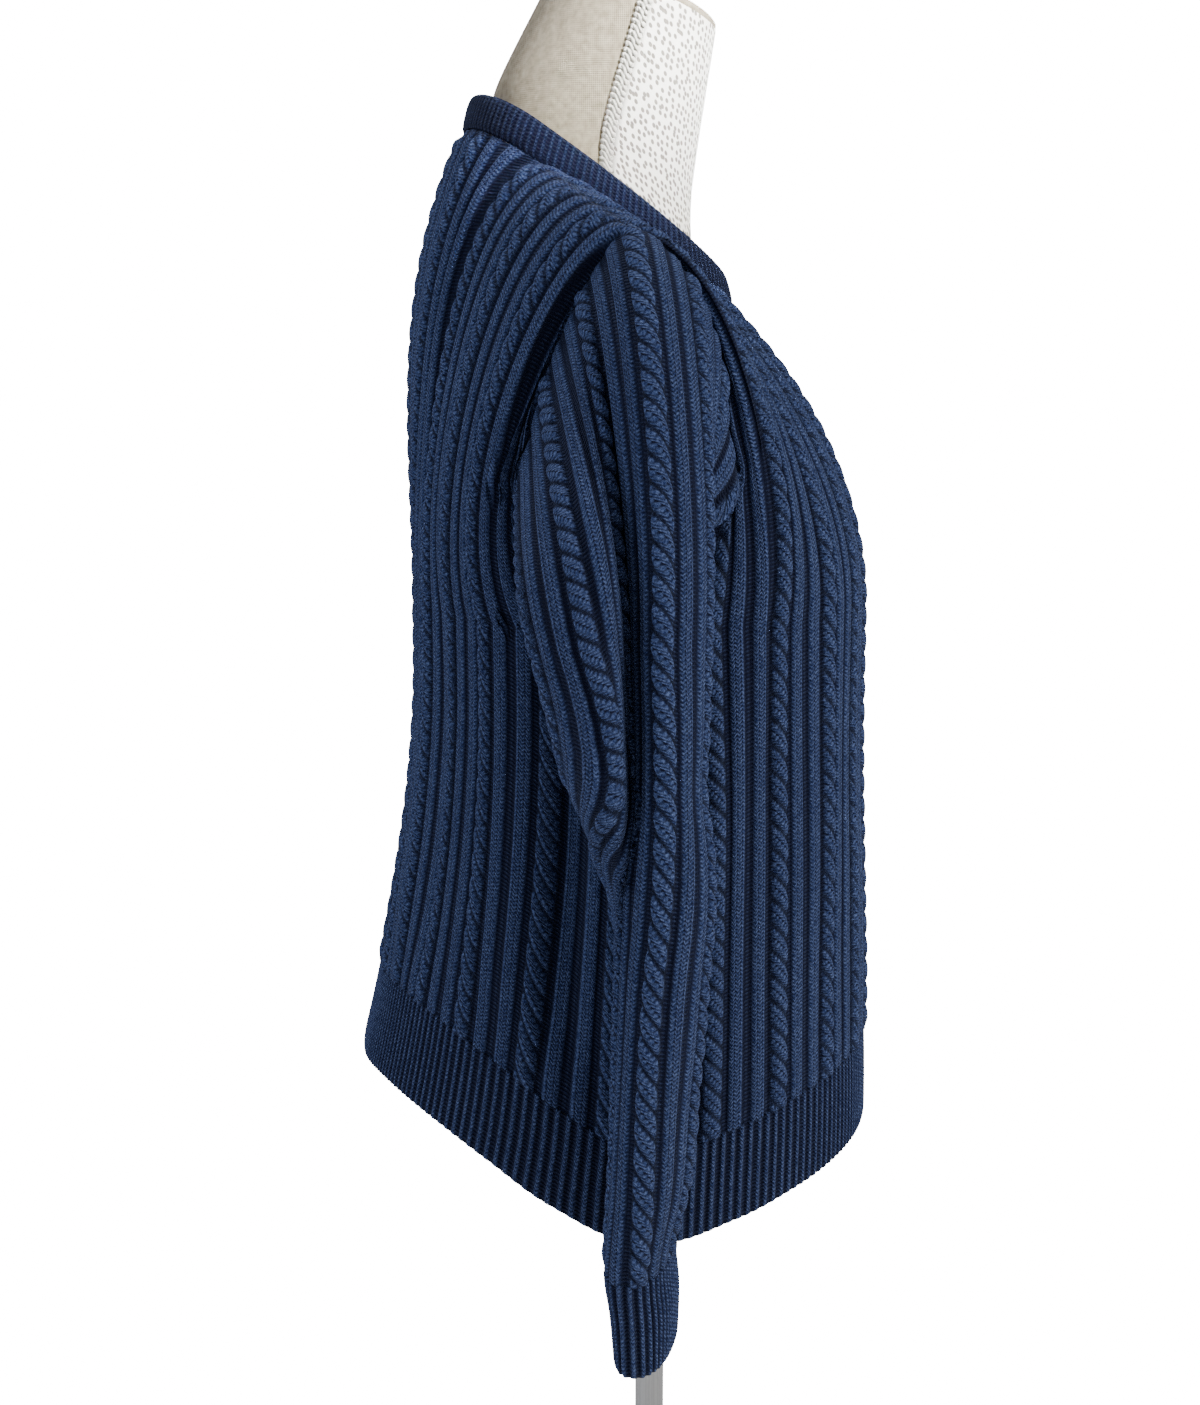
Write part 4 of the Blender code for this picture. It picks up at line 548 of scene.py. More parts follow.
# a cloth piece from its outside: its rows are turned in, and where it isn't a tube its columns too
def clothPiece(name, outer, base, faces, flat, extra, shares, lengths, turnColumns, flip, side=1.0):
    inside = base - faces * cloth["wall"]
    reach = cloth["facing"] / np.mean(lengths)
    low = int(np.searchsorted(shares, reach))
    high = int(np.searchsorted(shares, 1.0 - reach)) - 1
    points = turnedEnds(outer, inside, low, high, 1)
    flat = turnedEnds(flat, flat, low, high, 1)
    extra = {key: turnedEnds(value, value, low, high, 1) for key, value in extra.items()}
    if turnColumns:
        inside = np.concatenate([points[:, :2], inside, points[:, -2:]], axis=1)
        low, high = turnColumns, len(points) - 1 - turnColumns
        points = turnedEnds(points, inside, low, high, 0)
        flat = turnedEnds(flat, flat, low, high, 0)
        extra = {key: turnedEnds(value, value, low, high, 0) for key, value in extra.items()}
    points = points * np.array((side, 1.0, 1.0))
    return gridPiece(name, points, flat, extra, closedAcross=not turnColumns, flip=flip)


# outward directions of a tube's grid: its own neighbours', with the first and last column joined
def tubeFaces(base, places, period):
    wrapped = np.concatenate([base[-1:], base, base[:1]])
    wrappedAt = np.concatenate([[places[-1] - period], places, [places[0] + period]])
    faces = gridFaces(wrapped, wrappedAt)[1:-1]
    return faces * np.sign(np.sum(faces * (base - base.mean(axis=0, keepdims=True))))


# what every piece of the object gets: its material and body, and the solids it stands for; slot is not used
def dressPiece(item, material, slot, *nodes):
    item.data.materials.append(material)
    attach(item, "root")
    if nodes:
        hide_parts(*nodes)
    return item


# sRGB hex to linear numbers by the standard's two-part curve
def colourOf(text):
    parts = np.array([int(text[i:i + 2], 16) for i in (1, 3, 5)]) / 255.0
    linear = np.where(parts <= 0.04045, parts / 12.92, ((parts + 0.055) / 1.055) ** 2.4)
    return (*[float(part) for part in linear], 1.0)


# gives a node its inputs, in order or by name: numbers, colours, sockets, or nodes, of which the first
# output is meant
def setInputs(tree, node, inputs):
    for key, value in inputs.items() if isinstance(inputs, dict) else enumerate(inputs):
        if isinstance(value, bpy.types.Node):
            value = value.outputs[0]
        if isinstance(value, bpy.types.NodeSocket):
            tree.links.new(value, node.inputs[key])
        else:
            node.inputs[key].default_value = value


# a shader node with its inputs and its own settings; a Mix node has its colours at 6 and 7, and out at 2
def addNode(tree, kind, inputs, **settings):
    node = tree.nodes.new("ShaderNode" + kind)
    for key, value in settings.items():
        setattr(node, key, value)
    setInputs(tree, node, inputs)
    return node


# an empty material, its node tree and its shader
def newMaterial(name):
    material = bpy.data.materials.new(name)
    material.use_nodes = True
    return material, material.node_tree, material.node_tree.nodes["Principled BSDF"]


# Noise scales are turns per metre: the yarn wanders over 6 mm, its fuzz is 0.7 mm, coarser than fibres
# are so that it shows, the heather's flecks are 1.3 mm and its wide patches 45 mm. Pairs are the factor
# and the amount added that turn a noise, a wave or a height into a share.
# dark is the painted shade colour of the hollows; tops, hollow, purlTops and gain shape that painted shade
# over the stitches, the relief and the purl ground
yarn = {"wale": 0.0030, "row": 0.0021, "dark": "#080d26", "middle": "#1b2955", "light": "#5b6e9c",
        "sheenTint": "#8fa3cf", "sheen": 0.10, "roughness": 0.92, "bump": 0.95, "depth": 0.0013,
        "noises": ((170.0, 2.0, 0.5), (1500.0, 3.0, 0.5), (760.0, 3.0, 0.75), (22.0, 2.0, 0.5)),
        "wander": (0.55, -0.275), "slant": 1.5, "stitch": (0.275, 0.725), "groove": 0.55,
        "bar": 0.34, "barBreak": (0.14, 0.42), "fuzz": 0.35, "flecks": (3.6, -1.368),
        "patches": (0.5, -0.175), "tops": (2.1, -0.66), "hollow": 1.3, "purlTops": (0.60, 0.40), "gain": 2.1}


# The navy yarn, a spun and heathered cotton and wool. Knit stitches are V shapes: a wave up the wale,
# shifted by the distance from the wale's middle and lower at its edge. Purl stitches are short bars:
# a wave up the wale with a weak one across. Their height bumps the cloth and, with the relief, paints
# shade: dark in the hollows and on the purl ground, lighter on the stitch tops and ridges.
def yarnMaterial(name):
    material, tree, shader = newMaterial(name)
    flat = addNode(tree, "SeparateXYZ", [addNode(tree, "UVMap", [], uv_map="UVMap")])
    place = addNode(tree, "TexCoord", []).outputs["Object"]
    knit, local, raised = [addNode(tree, "Attribute", [], attribute_name=key).outputs["Fac"]
                           for key in ("knit", "local", "raised")]
    wander, fuzz, heather, patches = [
        addNode(tree, "TexNoise", {"Vector": place, "Scale": scale, "Detail": detail, "Roughness": rough})
        for scale, detail, rough in yarn["noises"]]
    wandered = addNode(tree, "Math", [wander, *yarn["wander"]], operation="MULTIPLY_ADD")
    up = addNode(tree, "Math", [flat.outputs[1], 1.0 / yarn["row"], wandered], operation="MULTIPLY_ADD")
    # knit: how far from the wale's middle, 0 to 0.5 of a wale, and the V wave
    wale = addNode(tree, "Math", [local, 1.0 / yarn["wale"], 0.5], operation="MULTIPLY_ADD")
    away = addNode(tree, "Math", [wale, 0.5], operation="PINGPONG")
    turn = addNode(tree, "Math", [away, -yarn["slant"], up], operation="MULTIPLY_ADD")
    angle = addNode(tree, "Math", [turn, fullTurn], operation="MULTIPLY")
    wave = addNode(tree, "Math", [angle], operation="SINE")
    stitch = addNode(tree, "Math", [wave, *yarn["stitch"]], operation="MULTIPLY_ADD")
    twice = addNode(tree, "Math", [away, 2.0], operation="MULTIPLY")
    edge = addNode(tree, "Math", [twice, 3.0], operation="POWER")
    dip = addNode(tree, "Math", [edge, -yarn["groove"], 1.0], operation="MULTIPLY_ADD")
    knitHeight = addNode(tree, "Math", [stitch, dip], operation="MULTIPLY")
    # purl: bars up the wale, broken across it
    upAngle = addNode(tree, "Math", [up, fullTurn], operation="MULTIPLY")
    bars = addNode(tree, "Math", [upAngle], operation="SINE")
    acrossAngle = addNode(tree, "Math", [flat.outputs[0], fullTurn / yarn["wale"]], operation="MULTIPLY")
    across = addNode(tree, "Math", [acrossAngle], operation="SINE")
    breaks = addNode(tree, "Math", [across, *yarn["barBreak"]], operation="MULTIPLY_ADD")
    purlHeight = addNode(tree, "Math", [bars, yarn["bar"], breaks], operation="MULTIPLY_ADD")
    height = addNode(tree, "Mix", {0: knit, 2: purlHeight, 3: knitHeight}, data_type="FLOAT")
    fuzzed = addNode(tree, "Math", [fuzz, yarn["fuzz"], height], operation="MULTIPLY_ADD")
    bump = addNode(tree, "Bump", {"Strength": yarn["bump"], "Distance": yarn["depth"], "Height": fuzzed})
    # heather: light flecks on the middle blue, fewer in some patches
    dark, middle, light = [colourOf(yarn[key]) for key in ("dark", "middle", "light")]
    flecks = addNode(tree, "Math", [heather, *yarn["flecks"]], operation="MULTIPLY_ADD", use_clamp=True)
    flecked = addNode(tree, "Mix", {0: flecks, 6: middle, 7: light}, data_type="RGBA").outputs[2]
    wide = addNode(tree, "Math", [patches, *yarn["patches"]], operation="MULTIPLY_ADD", use_clamp=True)
    heathered = addNode(tree, "Mix", {0: wide, 6: flecked, 7: middle}, data_type="RGBA").outputs[2]
    # painted shade and light: the dark colour between the stitches, in the relief's hollows and on the purl
    # ground, the heather on the tops
    stitchTops = addNode(tree, "Math", [height, *yarn["tops"]], operation="MULTIPLY_ADD")
    ridges = addNode(tree, "Math", [raised, yarn["hollow"]], operation="POWER")
    purlTops = addNode(tree, "Math", [knit, *yarn["purlTops"]], operation="MULTIPLY_ADD")
    ridgeTops = addNode(tree, "Math", [ridges, purlTops], operation="MULTIPLY")
    gained = addNode(tree, "Math", [ridgeTops, yarn["gain"]], operation="MULTIPLY")
    tops = addNode(tree, "Math", [stitchTops, gained], operation="MULTIPLY", use_clamp=True)
    colour = addNode(tree, "Mix", {0: tops, 6: dark, 7: heathered}, data_type="RGBA").outputs[2]
    setInputs(tree, shader, {"Base Color": colour, "Normal": bump, "Roughness": yarn["roughness"],
                             "Specular IOR Level": 0.15, "Sheen Weight": yarn["sheen"],
                             "Sheen Roughness": 0.5, "Sheen Tint": colourOf(yarn["sheenTint"])})
    return material


# threads are 1.1 and 1.2 mm apart, drawn coarser than they are so that they show; slubs are 4 mm
linenWeave = {"light": "#a79c86", "dark": "#7c725f", "pitches": ((1, 0.0011), (2, 0.0012)),
              "slub": 260.0, "weave": 0.25, "mottle": (1.8, -0.54), "bump": 0.5, "depth": 0.0004}


# Plain woven linen: one wave of threads along y and one along z, with the slubs that the eye knows
# it by from noise, which also mottles its colour.
def linenMaterial(name):
    material, tree, shader = newMaterial(name)
    place = addNode(tree, "TexCoord", []).outputs["Object"]
    parts = addNode(tree, "SeparateXYZ", [place])
    angles = [addNode(tree, "Math", [parts.outputs[axis], fullTurn / pitch], operation="MULTIPLY")
              for axis, pitch in linenWeave["pitches"]]
    waves = [addNode(tree, "Math", [angle], operation="SINE") for angle in angles]
    weave = addNode(tree, "Math", waves, operation="ADD")
    slub = addNode(tree, "TexNoise", {"Vector": place, "Scale": linenWeave["slub"], "Detail": 4.0})
    height = addNode(tree, "Math", [weave, linenWeave["weave"], slub], operation="MULTIPLY_ADD")
    bump = addNode(tree, "Bump", {"Strength": linenWeave["bump"], "Distance": linenWeave["depth"],
                                  "Height": height})
    mottle = addNode(tree, "Math", [slub, *linenWeave["mottle"]], operation="MULTIPLY_ADD", use_clamp=True)
    dark, light = [colourOf(linenWeave[key]) for key in ("dark", "light")]
    colour = addNode(tree, "Mix", {0: mottle, 6: dark, 7: light}, data_type="RGBA").outputs[2]
    setInputs(tree, shader, {"Base Color": colour, "Normal": bump, "Roughness": 0.9, "Sheen Weight": 0.1})
    return material


# the lace reaches between two angles from the front, and up from a low place on the neck; its two nets
# of holes each have a share of the cell's scale, an unevenness, a hole radius and a soft edge
# hole is the ground seen through the holes, painted darker as shade, and holeDark how much of it the holes
# take; edgeDark is the share of painted shade beside the braid
lacePiece = {"from": -86.0, "to": 86.0, "thread": "#fffdf6", "hole": "#5d5340", "cell": 0.0042,
             "columns": 150, "rows": 110, "lowPlace": 0.15, "clear": 0.0002, "edgeLift": 0.0009,
             "nets": ((1.0, 0.5, 0.34, 0.10), (0.36, 0.8, 0.13, 0.06)), "twist": 1400.0, "fuzz": 0.35,
             "holeDark": 0.85, "edgeDark": 0.75, "bump": 0.9, "depth": 0.0009}


# Crochet lace of white cotton: the middles of an uneven net's cells are holes, 4 mm apart, larger ones
# follow a second and wider net, and the twisted thread between them stands up. The holes show the
# ground beneath, painted darker than the linen as shade.
def laceMaterial(name):
    material, tree, shader = newMaterial(name)
    place = addNode(tree, "UVMap", [], uv_map="UVMap")
    holes = []
    for share, uneven, radius, soft in lacePiece["nets"]:
        cells = addNode(tree, "TexVoronoi", {"Vector": place, "Scale": share / lacePiece["cell"],
                                             "Randomness": uneven}, voronoi_dimensions="2D")
        inside = addNode(tree, "Math", [radius, cells.outputs["Distance"]], operation="SUBTRACT")
        holes.append(addNode(tree, "Math", [inside, soft], operation="DIVIDE", use_clamp=True))
    hole = addNode(tree, "Math", holes, operation="MAXIMUM")
    thread = addNode(tree, "TexNoise", {"Vector": place, "Scale": lacePiece["twist"], "Detail": 3.0})
    solid = addNode(tree, "Math", [1.0, hole], operation="SUBTRACT")
    height = addNode(tree, "Math", [thread, lacePiece["fuzz"], solid], operation="MULTIPLY_ADD")
    bump = addNode(tree, "Bump", {"Strength": lacePiece["bump"], "Distance": lacePiece["depth"],
                                  "Height": height})
    # shade is the painted shade on the thread beside the braid
    shade = addNode(tree, "Attribute", [], attribute_name="shade").outputs["Fac"]
    darks = [addNode(tree, "Math", [hole, lacePiece["holeDark"]], operation="MULTIPLY"),
             addNode(tree, "Math", [shade, lacePiece["edgeDark"]], operation="MULTIPLY")]
    dark = addNode(tree, "Math", darks, operation="MAXIMUM")
    white, shadow = [colourOf(lacePiece[key]) for key in ("thread", "hole")]
    colour = addNode(tree, "Mix", {0: dark, 6: white, 7: shadow}, data_type="RGBA").outputs[2]
    setInputs(tree, shader, {"Base Color": colour, "Normal": bump, "Roughness": 0.85})
    return material


# Brushed steel tube: grain drawn out along the pole, 1 mm across and 70 mm long, gives fine streaks.
brushedSteel = {"scale": (900.0, 900.0, 14.0), "detail": 3.0, "bump": 0.2, "depth": 0.0002,
                "dark": "#9b9da0", "light": "#c9cacc", "shader": {"Metallic": 1.0, "Roughness": 0.38}}
# Satin powder paint on steel: an even orange-peel grain of 1.4 mm.
satinPaint = {"scale": (700.0, 700.0, 700.0), "detail": 2.0, "bump": 0.15, "depth": 0.0003,
              "dark": "#2b2c2f", "light": "#3b3c3f", "shader": {"Roughness": 0.45}}
# Twisted viscose cord of the gimp braid: a silky grain of 0.9 mm, darker and lighter at random.
viscose = {"scale": (1100.0, 1100.0, 1100.0), "detail": 2.0, "bump": 0.5, "depth": 0.0002,
           "dark": "#a9a59b", "light": "#e9e6dc", "shader": {"Roughness": 0.6, "Sheen Weight": 0.2}}


# a finish whose grain is noise stretched by its scale: it bumps the surface and mixes two colours
def grainMaterial(name, values):
    material, tree, shader = newMaterial(name)
    place = addNode(tree, "TexCoord", []).outputs["Object"]
    drawn = addNode(tree, "Mapping", {"Vector": place, "Scale": values["scale"]})
    grain = addNode(tree, "TexNoise", {"Vector": drawn, "Scale": 1.0, "Detail": values["detail"]})
    bump = addNode(tree, "Bump", {"Strength": values["bump"], "Distance": values["depth"], "Height": grain})
    dark, light = [colourOf(values[key]) for key in ("dark", "light")]
    colour = addNode(tree, "Mix", {0: grain, 6: dark, 7: light}, data_type="RGBA").outputs[2]
    setInputs(tree, shader, {"Base Color": colour, "Normal": bump, **values["shader"]})
    return material


# rows up a panel and samples of its path, then steps between columns, finer on the photo's side
panel = {"rows": 262, "samples": 130, "fineStep": 1.0, "coarseStep": 2.0, "topFade": 0.15, "lowFade": 0.8,
         "sideRelief": 0.25, "foldTop": 0.05, "foldSide": 0.03, "turnColumns": 6}
# Folds of the panels: flat distance from the centre, length up the wale, reach both ways, height
frontFolds = {
    "u": (-0.150, -0.205, -0.100, -0.235, 0.150, 0.205, 0.095),
    "v": (0.200, 0.260, 0.060, 0.100, 0.190, 0.250, 0.060),
    "acrossReach": (0.022, 0.018, 0.028, 0.016, 0.022, 0.018, 0.028),
    "upReach": (0.140, 0.110, 0.070, 0.090, 0.140, 0.110, 0.070),
    "height": (0.0020, 0.0026, 0.0016, 0.0022, 0.0020, 0.0024, 0.0016),
    "slant": (0.10, 0.25, -0.10, 0.10, -0.10, -0.25, 0.10),
}
backFolds = {
    "u": (-0.060, -0.105, -0.165, -0.203, -0.240, 0.070, 0.125, 0.185),
    "v": (0.150, 0.120, 0.200, 0.205, 0.150, 0.150, 0.130, 0.200),
    "acrossReach": (0.018, 0.014, 0.015, 0.013, 0.013, 0.018, 0.015, 0.015),
    "upReach": (0.150, 0.120, 0.170, 0.190, 0.130, 0.150, 0.120, 0.140),
    "height": (0.0030, -0.0034, 0.0042, -0.0115, 0.0034, 0.0030, -0.0036, 0.0034),
    "slant": (0.05, 0.04, 0.03, 0.02, 0.06, -0.05, -0.04, -0.08),
}


# body panel: wales on the body's form, raised along their outward directions by the knit and the folds
def buildPanel(name, fromBack, folds, material):
    halfWidth = girthMap(fromBack)[0][-1] - cloth["seamGap"] / 2
    near = patternColumns(-halfWidth, 0.0, panel["fineStep"])
    far = patternColumns(0.0, halfWidth, panel["coarseStep"])
    places = np.concatenate([near, far[1:]])
    base, endFace = panelBase(places, fromBack, panel["samples"])
    shares = np.linspace(0.0, 1.0, panel["rows"])
    base, lengths = evenRows(base, shares)
    faces = gridFaces(base, places) * (-1.0 if fromBack else 1.0)
    v = shares[None, :] * lengths[:, None]
    u = np.broadcast_to(places[:, None], v.shape)
    toTop = lengths[:, None] - v
    toSide = halfWidth - np.abs(u)
    nearTop = (1.0 - easeStep(toTop / cloth["topTurn"]))[..., None]
    faces = unitOf(faces * (1 - nearTop) + endFace[:, None, :] * nearTop)
    faces = turnSideways(faces, u, toSide, 1 - nearTop)
    height, knit, local = knitRelief(u, v, -1.0 if fromBack else 1.0)
    fade = fadeFrom(panel["topFade"], toTop, cloth["seamFade"])
    fade = fade * fadeFrom(panel["lowFade"], v, cloth["seamFade"])
    raised = height * fade * fadeFrom(panel["sideRelief"], toSide, cloth["sideFade"])
    foldFade = easeStep(toTop / panel["foldTop"]) * easeStep(v / panel["foldTop"])
    foldFade = foldFade * easeStep(toSide / panel["foldSide"])
    outer = base + faces * (raised + foldHeight(u, v, folds) * foldFade)[..., None]
    flat = np.stack([u, v], axis=-1)
    # raised carries the painted shade: the yarn darkens the relief's hollows and lightens its ridges by it
    extra = {"knit": knit, "local": local, "raised": standOut(raised)}
    item = clothPiece(name, outer, base, faces, flat, extra, shares, lengths, panel["turnColumns"], fromBack)
    dressPiece(item, material, "navy_knit", "back_panel" if fromBack else "front_panel")
    area = float(np.sum((lengths[1:] + lengths[:-1]) / 2 * np.diff(places)))
    return item, (2 * halfWidth, float(lengths.max())), area


# rows, fan columns at the underarm seam and column steps of the near and the far sleeve; how the cloth
# arrives at the armhole, outwards and up, at the underarm and at the top
sleeve = {"near": (290, 44, 1.0), "far": (200, 24, 2.0), "rings": 110, "capSamples": 90, "seamStrip": 0.004,
          "topFade": 0.2, "lowFade": 0.8, "lowArrive": (0.55, 0.85), "topArrive": (0.95, 0.35)}
# how far the wales behind the crease move towards it, by height, and where on the flat that begins
creaseDrift = {"z": (0.40, 0.44, 0.48, 0.51, 0.54, 0.566, 0.60, 0.64),
               "move": (0.0, 0.004, 0.010, 0.018, 0.027, 0.027, 0.014, 0.0),
               "from": 0.018, "full": 0.052, "seamShare": 0.4}


# sleeve: rings up to the bicep, then cubics to the armhole; the pattern is centred on the outside
# and new wales come in from the underarm seam as it widens
def buildSleeve(name, side, values, material):
    rows, fan, step = values
    straight = sleeveRing(sleeveForm["cuffTopZ"])[1] / 2 - sleeve["seamStrip"]
    patterned = patternColumns(-straight, straight, step)
    lowZ = sleeveForm["cuffTopZ"] + cloth["seamGap"] / 2
    heights = np.linspace(lowZ, sleeveForm["bicepZ"], sleeve["rings"])
    girths = np.array([sleeveRing(z)[1] for z in heights])
    fanParts = np.linspace(0.0, 1.0, fan + 1)[1:]
    lower = []
    flats = []
    for z, half in zip(heights, girths / 2):
        wing = straight + (half - straight) * fanParts
        places = np.concatenate([-wing[::-1], patterned, wing[:-1]])
        behind = easeStep((-places - creaseDrift["from"]) / (creaseDrift["full"] - creaseDrift["from"]))
        behind = behind * easeStep((half + places) / (creaseDrift["seamShare"] * half))
        drift = smoothCurve(np.array(z), creaseDrift["z"], creaseDrift["move"]) * behind
        lower.append(sleevePoints((places + drift) / half, z))
        flats.append(places)
    lower = np.stack(lower, axis=1)
    flats = np.stack(flats, axis=1)
    shares = flats[:, -1] / (girths[-1] / 2)
    leave = unitOf(lower[:, -1] - lower[:, -2])
    place = (sleeveForm["capEase"] * shares + (1.0 - sleeveForm["capEase"]) * shares**3) / 2
    loop = armholePoint(place) + armholeOutwards(place) * sleeveForm["setOut"]
    topShare = (1.0 + np.cos(fullTurn * place)) / 2
    out, up = [low + (high - low) * topShare for low, high in zip(sleeve["lowArrive"], sleeve["topArrive"])]
    arrive = unitOf(np.stack([out, 0.0 * place, up], axis=-1))
    upper = bridge(lower[:, -1], leave, loop, arrive, sleeve["capSamples"])
    grid = np.concatenate([lower, upper[:, 1:]], axis=1)
    flats = np.concatenate([flats, np.repeat(flats[:, -1:], sleeve["capSamples"] - 1, axis=1)], axis=1)
    along = np.linspace(0.0, 1.0, rows)
    base, lengths = evenRows(grid, along)
    gridLengths = arcLength(grid)
    u = np.stack([np.interp(along * gridLengths[i, -1], gridLengths[i], flats[i]) for i in range(len(grid))])
    faces = tubeFaces(base, shares, 2.0)
    v = along[None, :] * lengths[:, None]
    toTop = lengths[:, None] - v
    nearTop = (1.0 - easeStep(toTop / cloth["topTurn"]))[..., None]
    faces = unitOf(faces * (1 - nearTop) + armholeFace(place)[:, None, :] * nearTop)
    height, knit, local = knitRelief(u, v, 1.0 if side > 0 else -1.0)
    fade = fadeFrom(sleeve["topFade"], toTop, cloth["seamFade"])
    raised = height * fade * fadeFrom(sleeve["lowFade"], v, cloth["seamFade"])
    outer = base + faces * raised[..., None]
    flat = np.stack([u, v], axis=-1)
    # raised carries the painted shade: the yarn darkens the relief's hollows and lightens its ridges by it
    extra = {"knit": knit, "local": local, "raised": standOut(raised, True)}
    item = clothPiece(name, outer, base, faces, flat, extra, along, lengths, 0, side > 0, side)
    dressPiece(item, material, "navy_knit", "sleeve_right" if side > 0 else "sleeve_left")
    return item, (float(girths.max()), float(lengths.max())), float(np.mean(lengths) * np.mean(girths))


# ribs: how round their tops are, how they blend into knit, and the painted shade from valley to top, dark in
# the valleys and lighter on the tops
rib = {"power": 0.75, "knitGain": 2.4, "knitFrom": 0.7, "lowFade": 0.55, "fadeReach": 0.003,
       "valley": 0.22, "top": 0.38, "drawnIn": 1.45}


# height of one-by-one rib at a flat place, a cosine made rounder on top, and the share of knit there
def ribRelief(u, pitch, relief):
    wave = 0.5 + 0.5 * np.cos(fullTurn * u / pitch)
    return relief * wave ** rib["power"], wave, easeStep(wave * rib["knitGain"] - rib["knitFrom"])


# a ribbed band from base points [column, row] with the valleys between raised wales; closed round a
# sleeve, or open with its ends turned in by a number of columns
def bandPiece(name, node, base, faces, u, v, pitch, relief, turnColumns, flip, side, material):
    height, wave, knit = ribRelief(u, pitch, relief)
    raised = height * fadeFrom(rib["lowFade"], v, rib["fadeReach"])
    outer = base + faces * raised[..., None]
    # raised carries the painted shade of the ribs: darker in their valleys, lighter on their tops
    extra = {"knit": knit, "local": np.mod(u + pitch / 2, pitch) - pitch / 2 + yarn["wale"] / 2,
             "raised": rib["valley"] + rib["top"] * wave}
    flat = np.stack([u, v], axis=-1)
    shares = np.linspace(0.0, 1.0, base.shape[1])
    lengths = arcLength(base)[:, -1]
    item = clothPiece(name, outer, base, faces, flat, extra, shares, lengths, turnColumns, flip, side)
    return dressPiece(item, material, "navy_rib", node)


hem = {"pitch": 0.0050, "perRib": 6, "rows": 26, "relief": 0.0017, "turnColumns": 10}


# hem: band of even height whose lower edge follows the hem line
def buildHem(name, fromBack, material):
    lengths, angles = girthMap(fromBack)
    halfWidth = lengths[-1] - cloth["seamGap"] / 2
    ribs = int(round(2 * halfWidth / hem["pitch"]))
    places = np.linspace(-halfWidth, halfWidth, ribs * hem["perRib"] + 1)
    angle = np.interp(np.abs(places), lengths, angles)
    part = np.linspace(0.0, 1.0, hem["rows"])
    tall = cloth["bandHeight"] - cloth["seamGap"]
    heights = hemHeight(angle)[:, None] + tall * part[None, :]
    base = bodySection(angle[:, None], heights)
    base[..., 0] *= np.where(places > 0, -1.0, 1.0)[:, None]
    u = np.broadcast_to(places[:, None], heights.shape)
    v = np.broadcast_to(part[None, :] * tall, heights.shape)
    faces = gridFaces(base, places) * (-1.0 if fromBack else 1.0)
    faces = turnSideways(faces, u, halfWidth - np.abs(u))
    item = bandPiece(name, "hem_back" if fromBack else "hem_front", base, faces, u, v, 2 * halfWidth / ribs,
                     hem["relief"], hem["turnColumns"], fromBack, 1.0, material)
    return item, (2 * halfWidth * rib["drawnIn"], tall)


cuff = {"pitch": 0.0048, "perRib": 8, "rows": 26, "relief": 0.0024}


# cuff: the same rib round the sleeve's own rings
def buildCuff(name, side, material):
    girth = sleeveRing(sleeveForm["cuffTopZ"])[1]
    ribs = int(round(girth / cuff["pitch"]))
    count = ribs * cuff["perRib"]
    shares = -1.0 + 2.0 * np.arange(count) / count
    heights = np.linspace(sleeveForm["cuffLowZ"], sleeveForm["cuffTopZ"] - cloth["seamGap"] / 2, cuff["rows"])
    base = np.stack([sleevePoints(shares, z) for z in heights], axis=1)
    faces = tubeFaces(base, np.arange(count), count)
    u = np.broadcast_to((shares * girth / 2)[:, None], base.shape[:2])
    v = np.broadcast_to((heights - heights[0])[None, :], base.shape[:2])
    item = bandPiece(name, "cuff_right" if side > 0 else "cuff_left", base, faces, u, v, girth / ribs,
                     cuff["relief"], 0, side > 0, side, material)
    return item, (girth * rib["drawnIn"], float(heights[-1] - heights[0]))


# the folded strip's section, from the seam up the outside, over the fold and down the inside: share of
# its height, offset outwards in millimetres, and share of the rib's relief
neckBand = {
    "pitch": 0.0044, "perRib": 7, "height": 0.0195, "relief": 0.0008, "gap": 0.0008, "valley": 0.07,
    "top": 0.15, "riseShare": 0.55, "upShare": 0.75, "leanShare": 0.10, "stitchFrom": 0.0025,
    "stitchBack": 0.001,
    "heights": (0.0, 0.05, 0.12, 0.22, 0.34, 0.46, 0.58, 0.70, 0.80, 0.88, 0.94, 0.985, 1.0, 0.985,
                0.93, 0.84, 0.70, 0.50, 0.30, 0.10, 0.0),
    "offsets": (0.2, 0.9, 1.3, 1.5, 1.6, 1.6, 1.5, 1.4, 1.2, 0.95, 0.6, 0.1, -0.6, -1.4,
                -2.0, -2.4, -2.6, -2.7, -2.7, -2.6, -2.5),
    "ribbed": (0.2, 0.6, 1.0, 1.0, 1.0, 1.0, 1.0, 1.0, 1.0, 0.9, 0.8, 0.7, 0.5, 0.4,
               0.3, 0.3, 0.3, 0.3, 0.2, 0.0, 0.0),
}


# whole neckline, equally spaced from centre front round by the wearer's right
def necklineLoop(count):
    half = np.linspace(0.0, 1.0, 800)
    places = np.concatenate([neckPlace(half, False), neckPlace(1.0 - half, True)[1:]])
    right = necklinePoint(places)
    faces = neckFace(places)
    flip = np.array((-1.0, 1.0, 1.0))
    points = np.concatenate([right, (right * flip)[-2::-1]])
    outward = np.concatenate([faces, (faces * flip)[-2::-1]])
    lengths = arcLength(points)
    wanted = lengths[-1] * np.arange(count) / count
    return alongPath(points, lengths, wanted), unitOf(alongPath(outward, lengths, wanted)), lengths[-1]


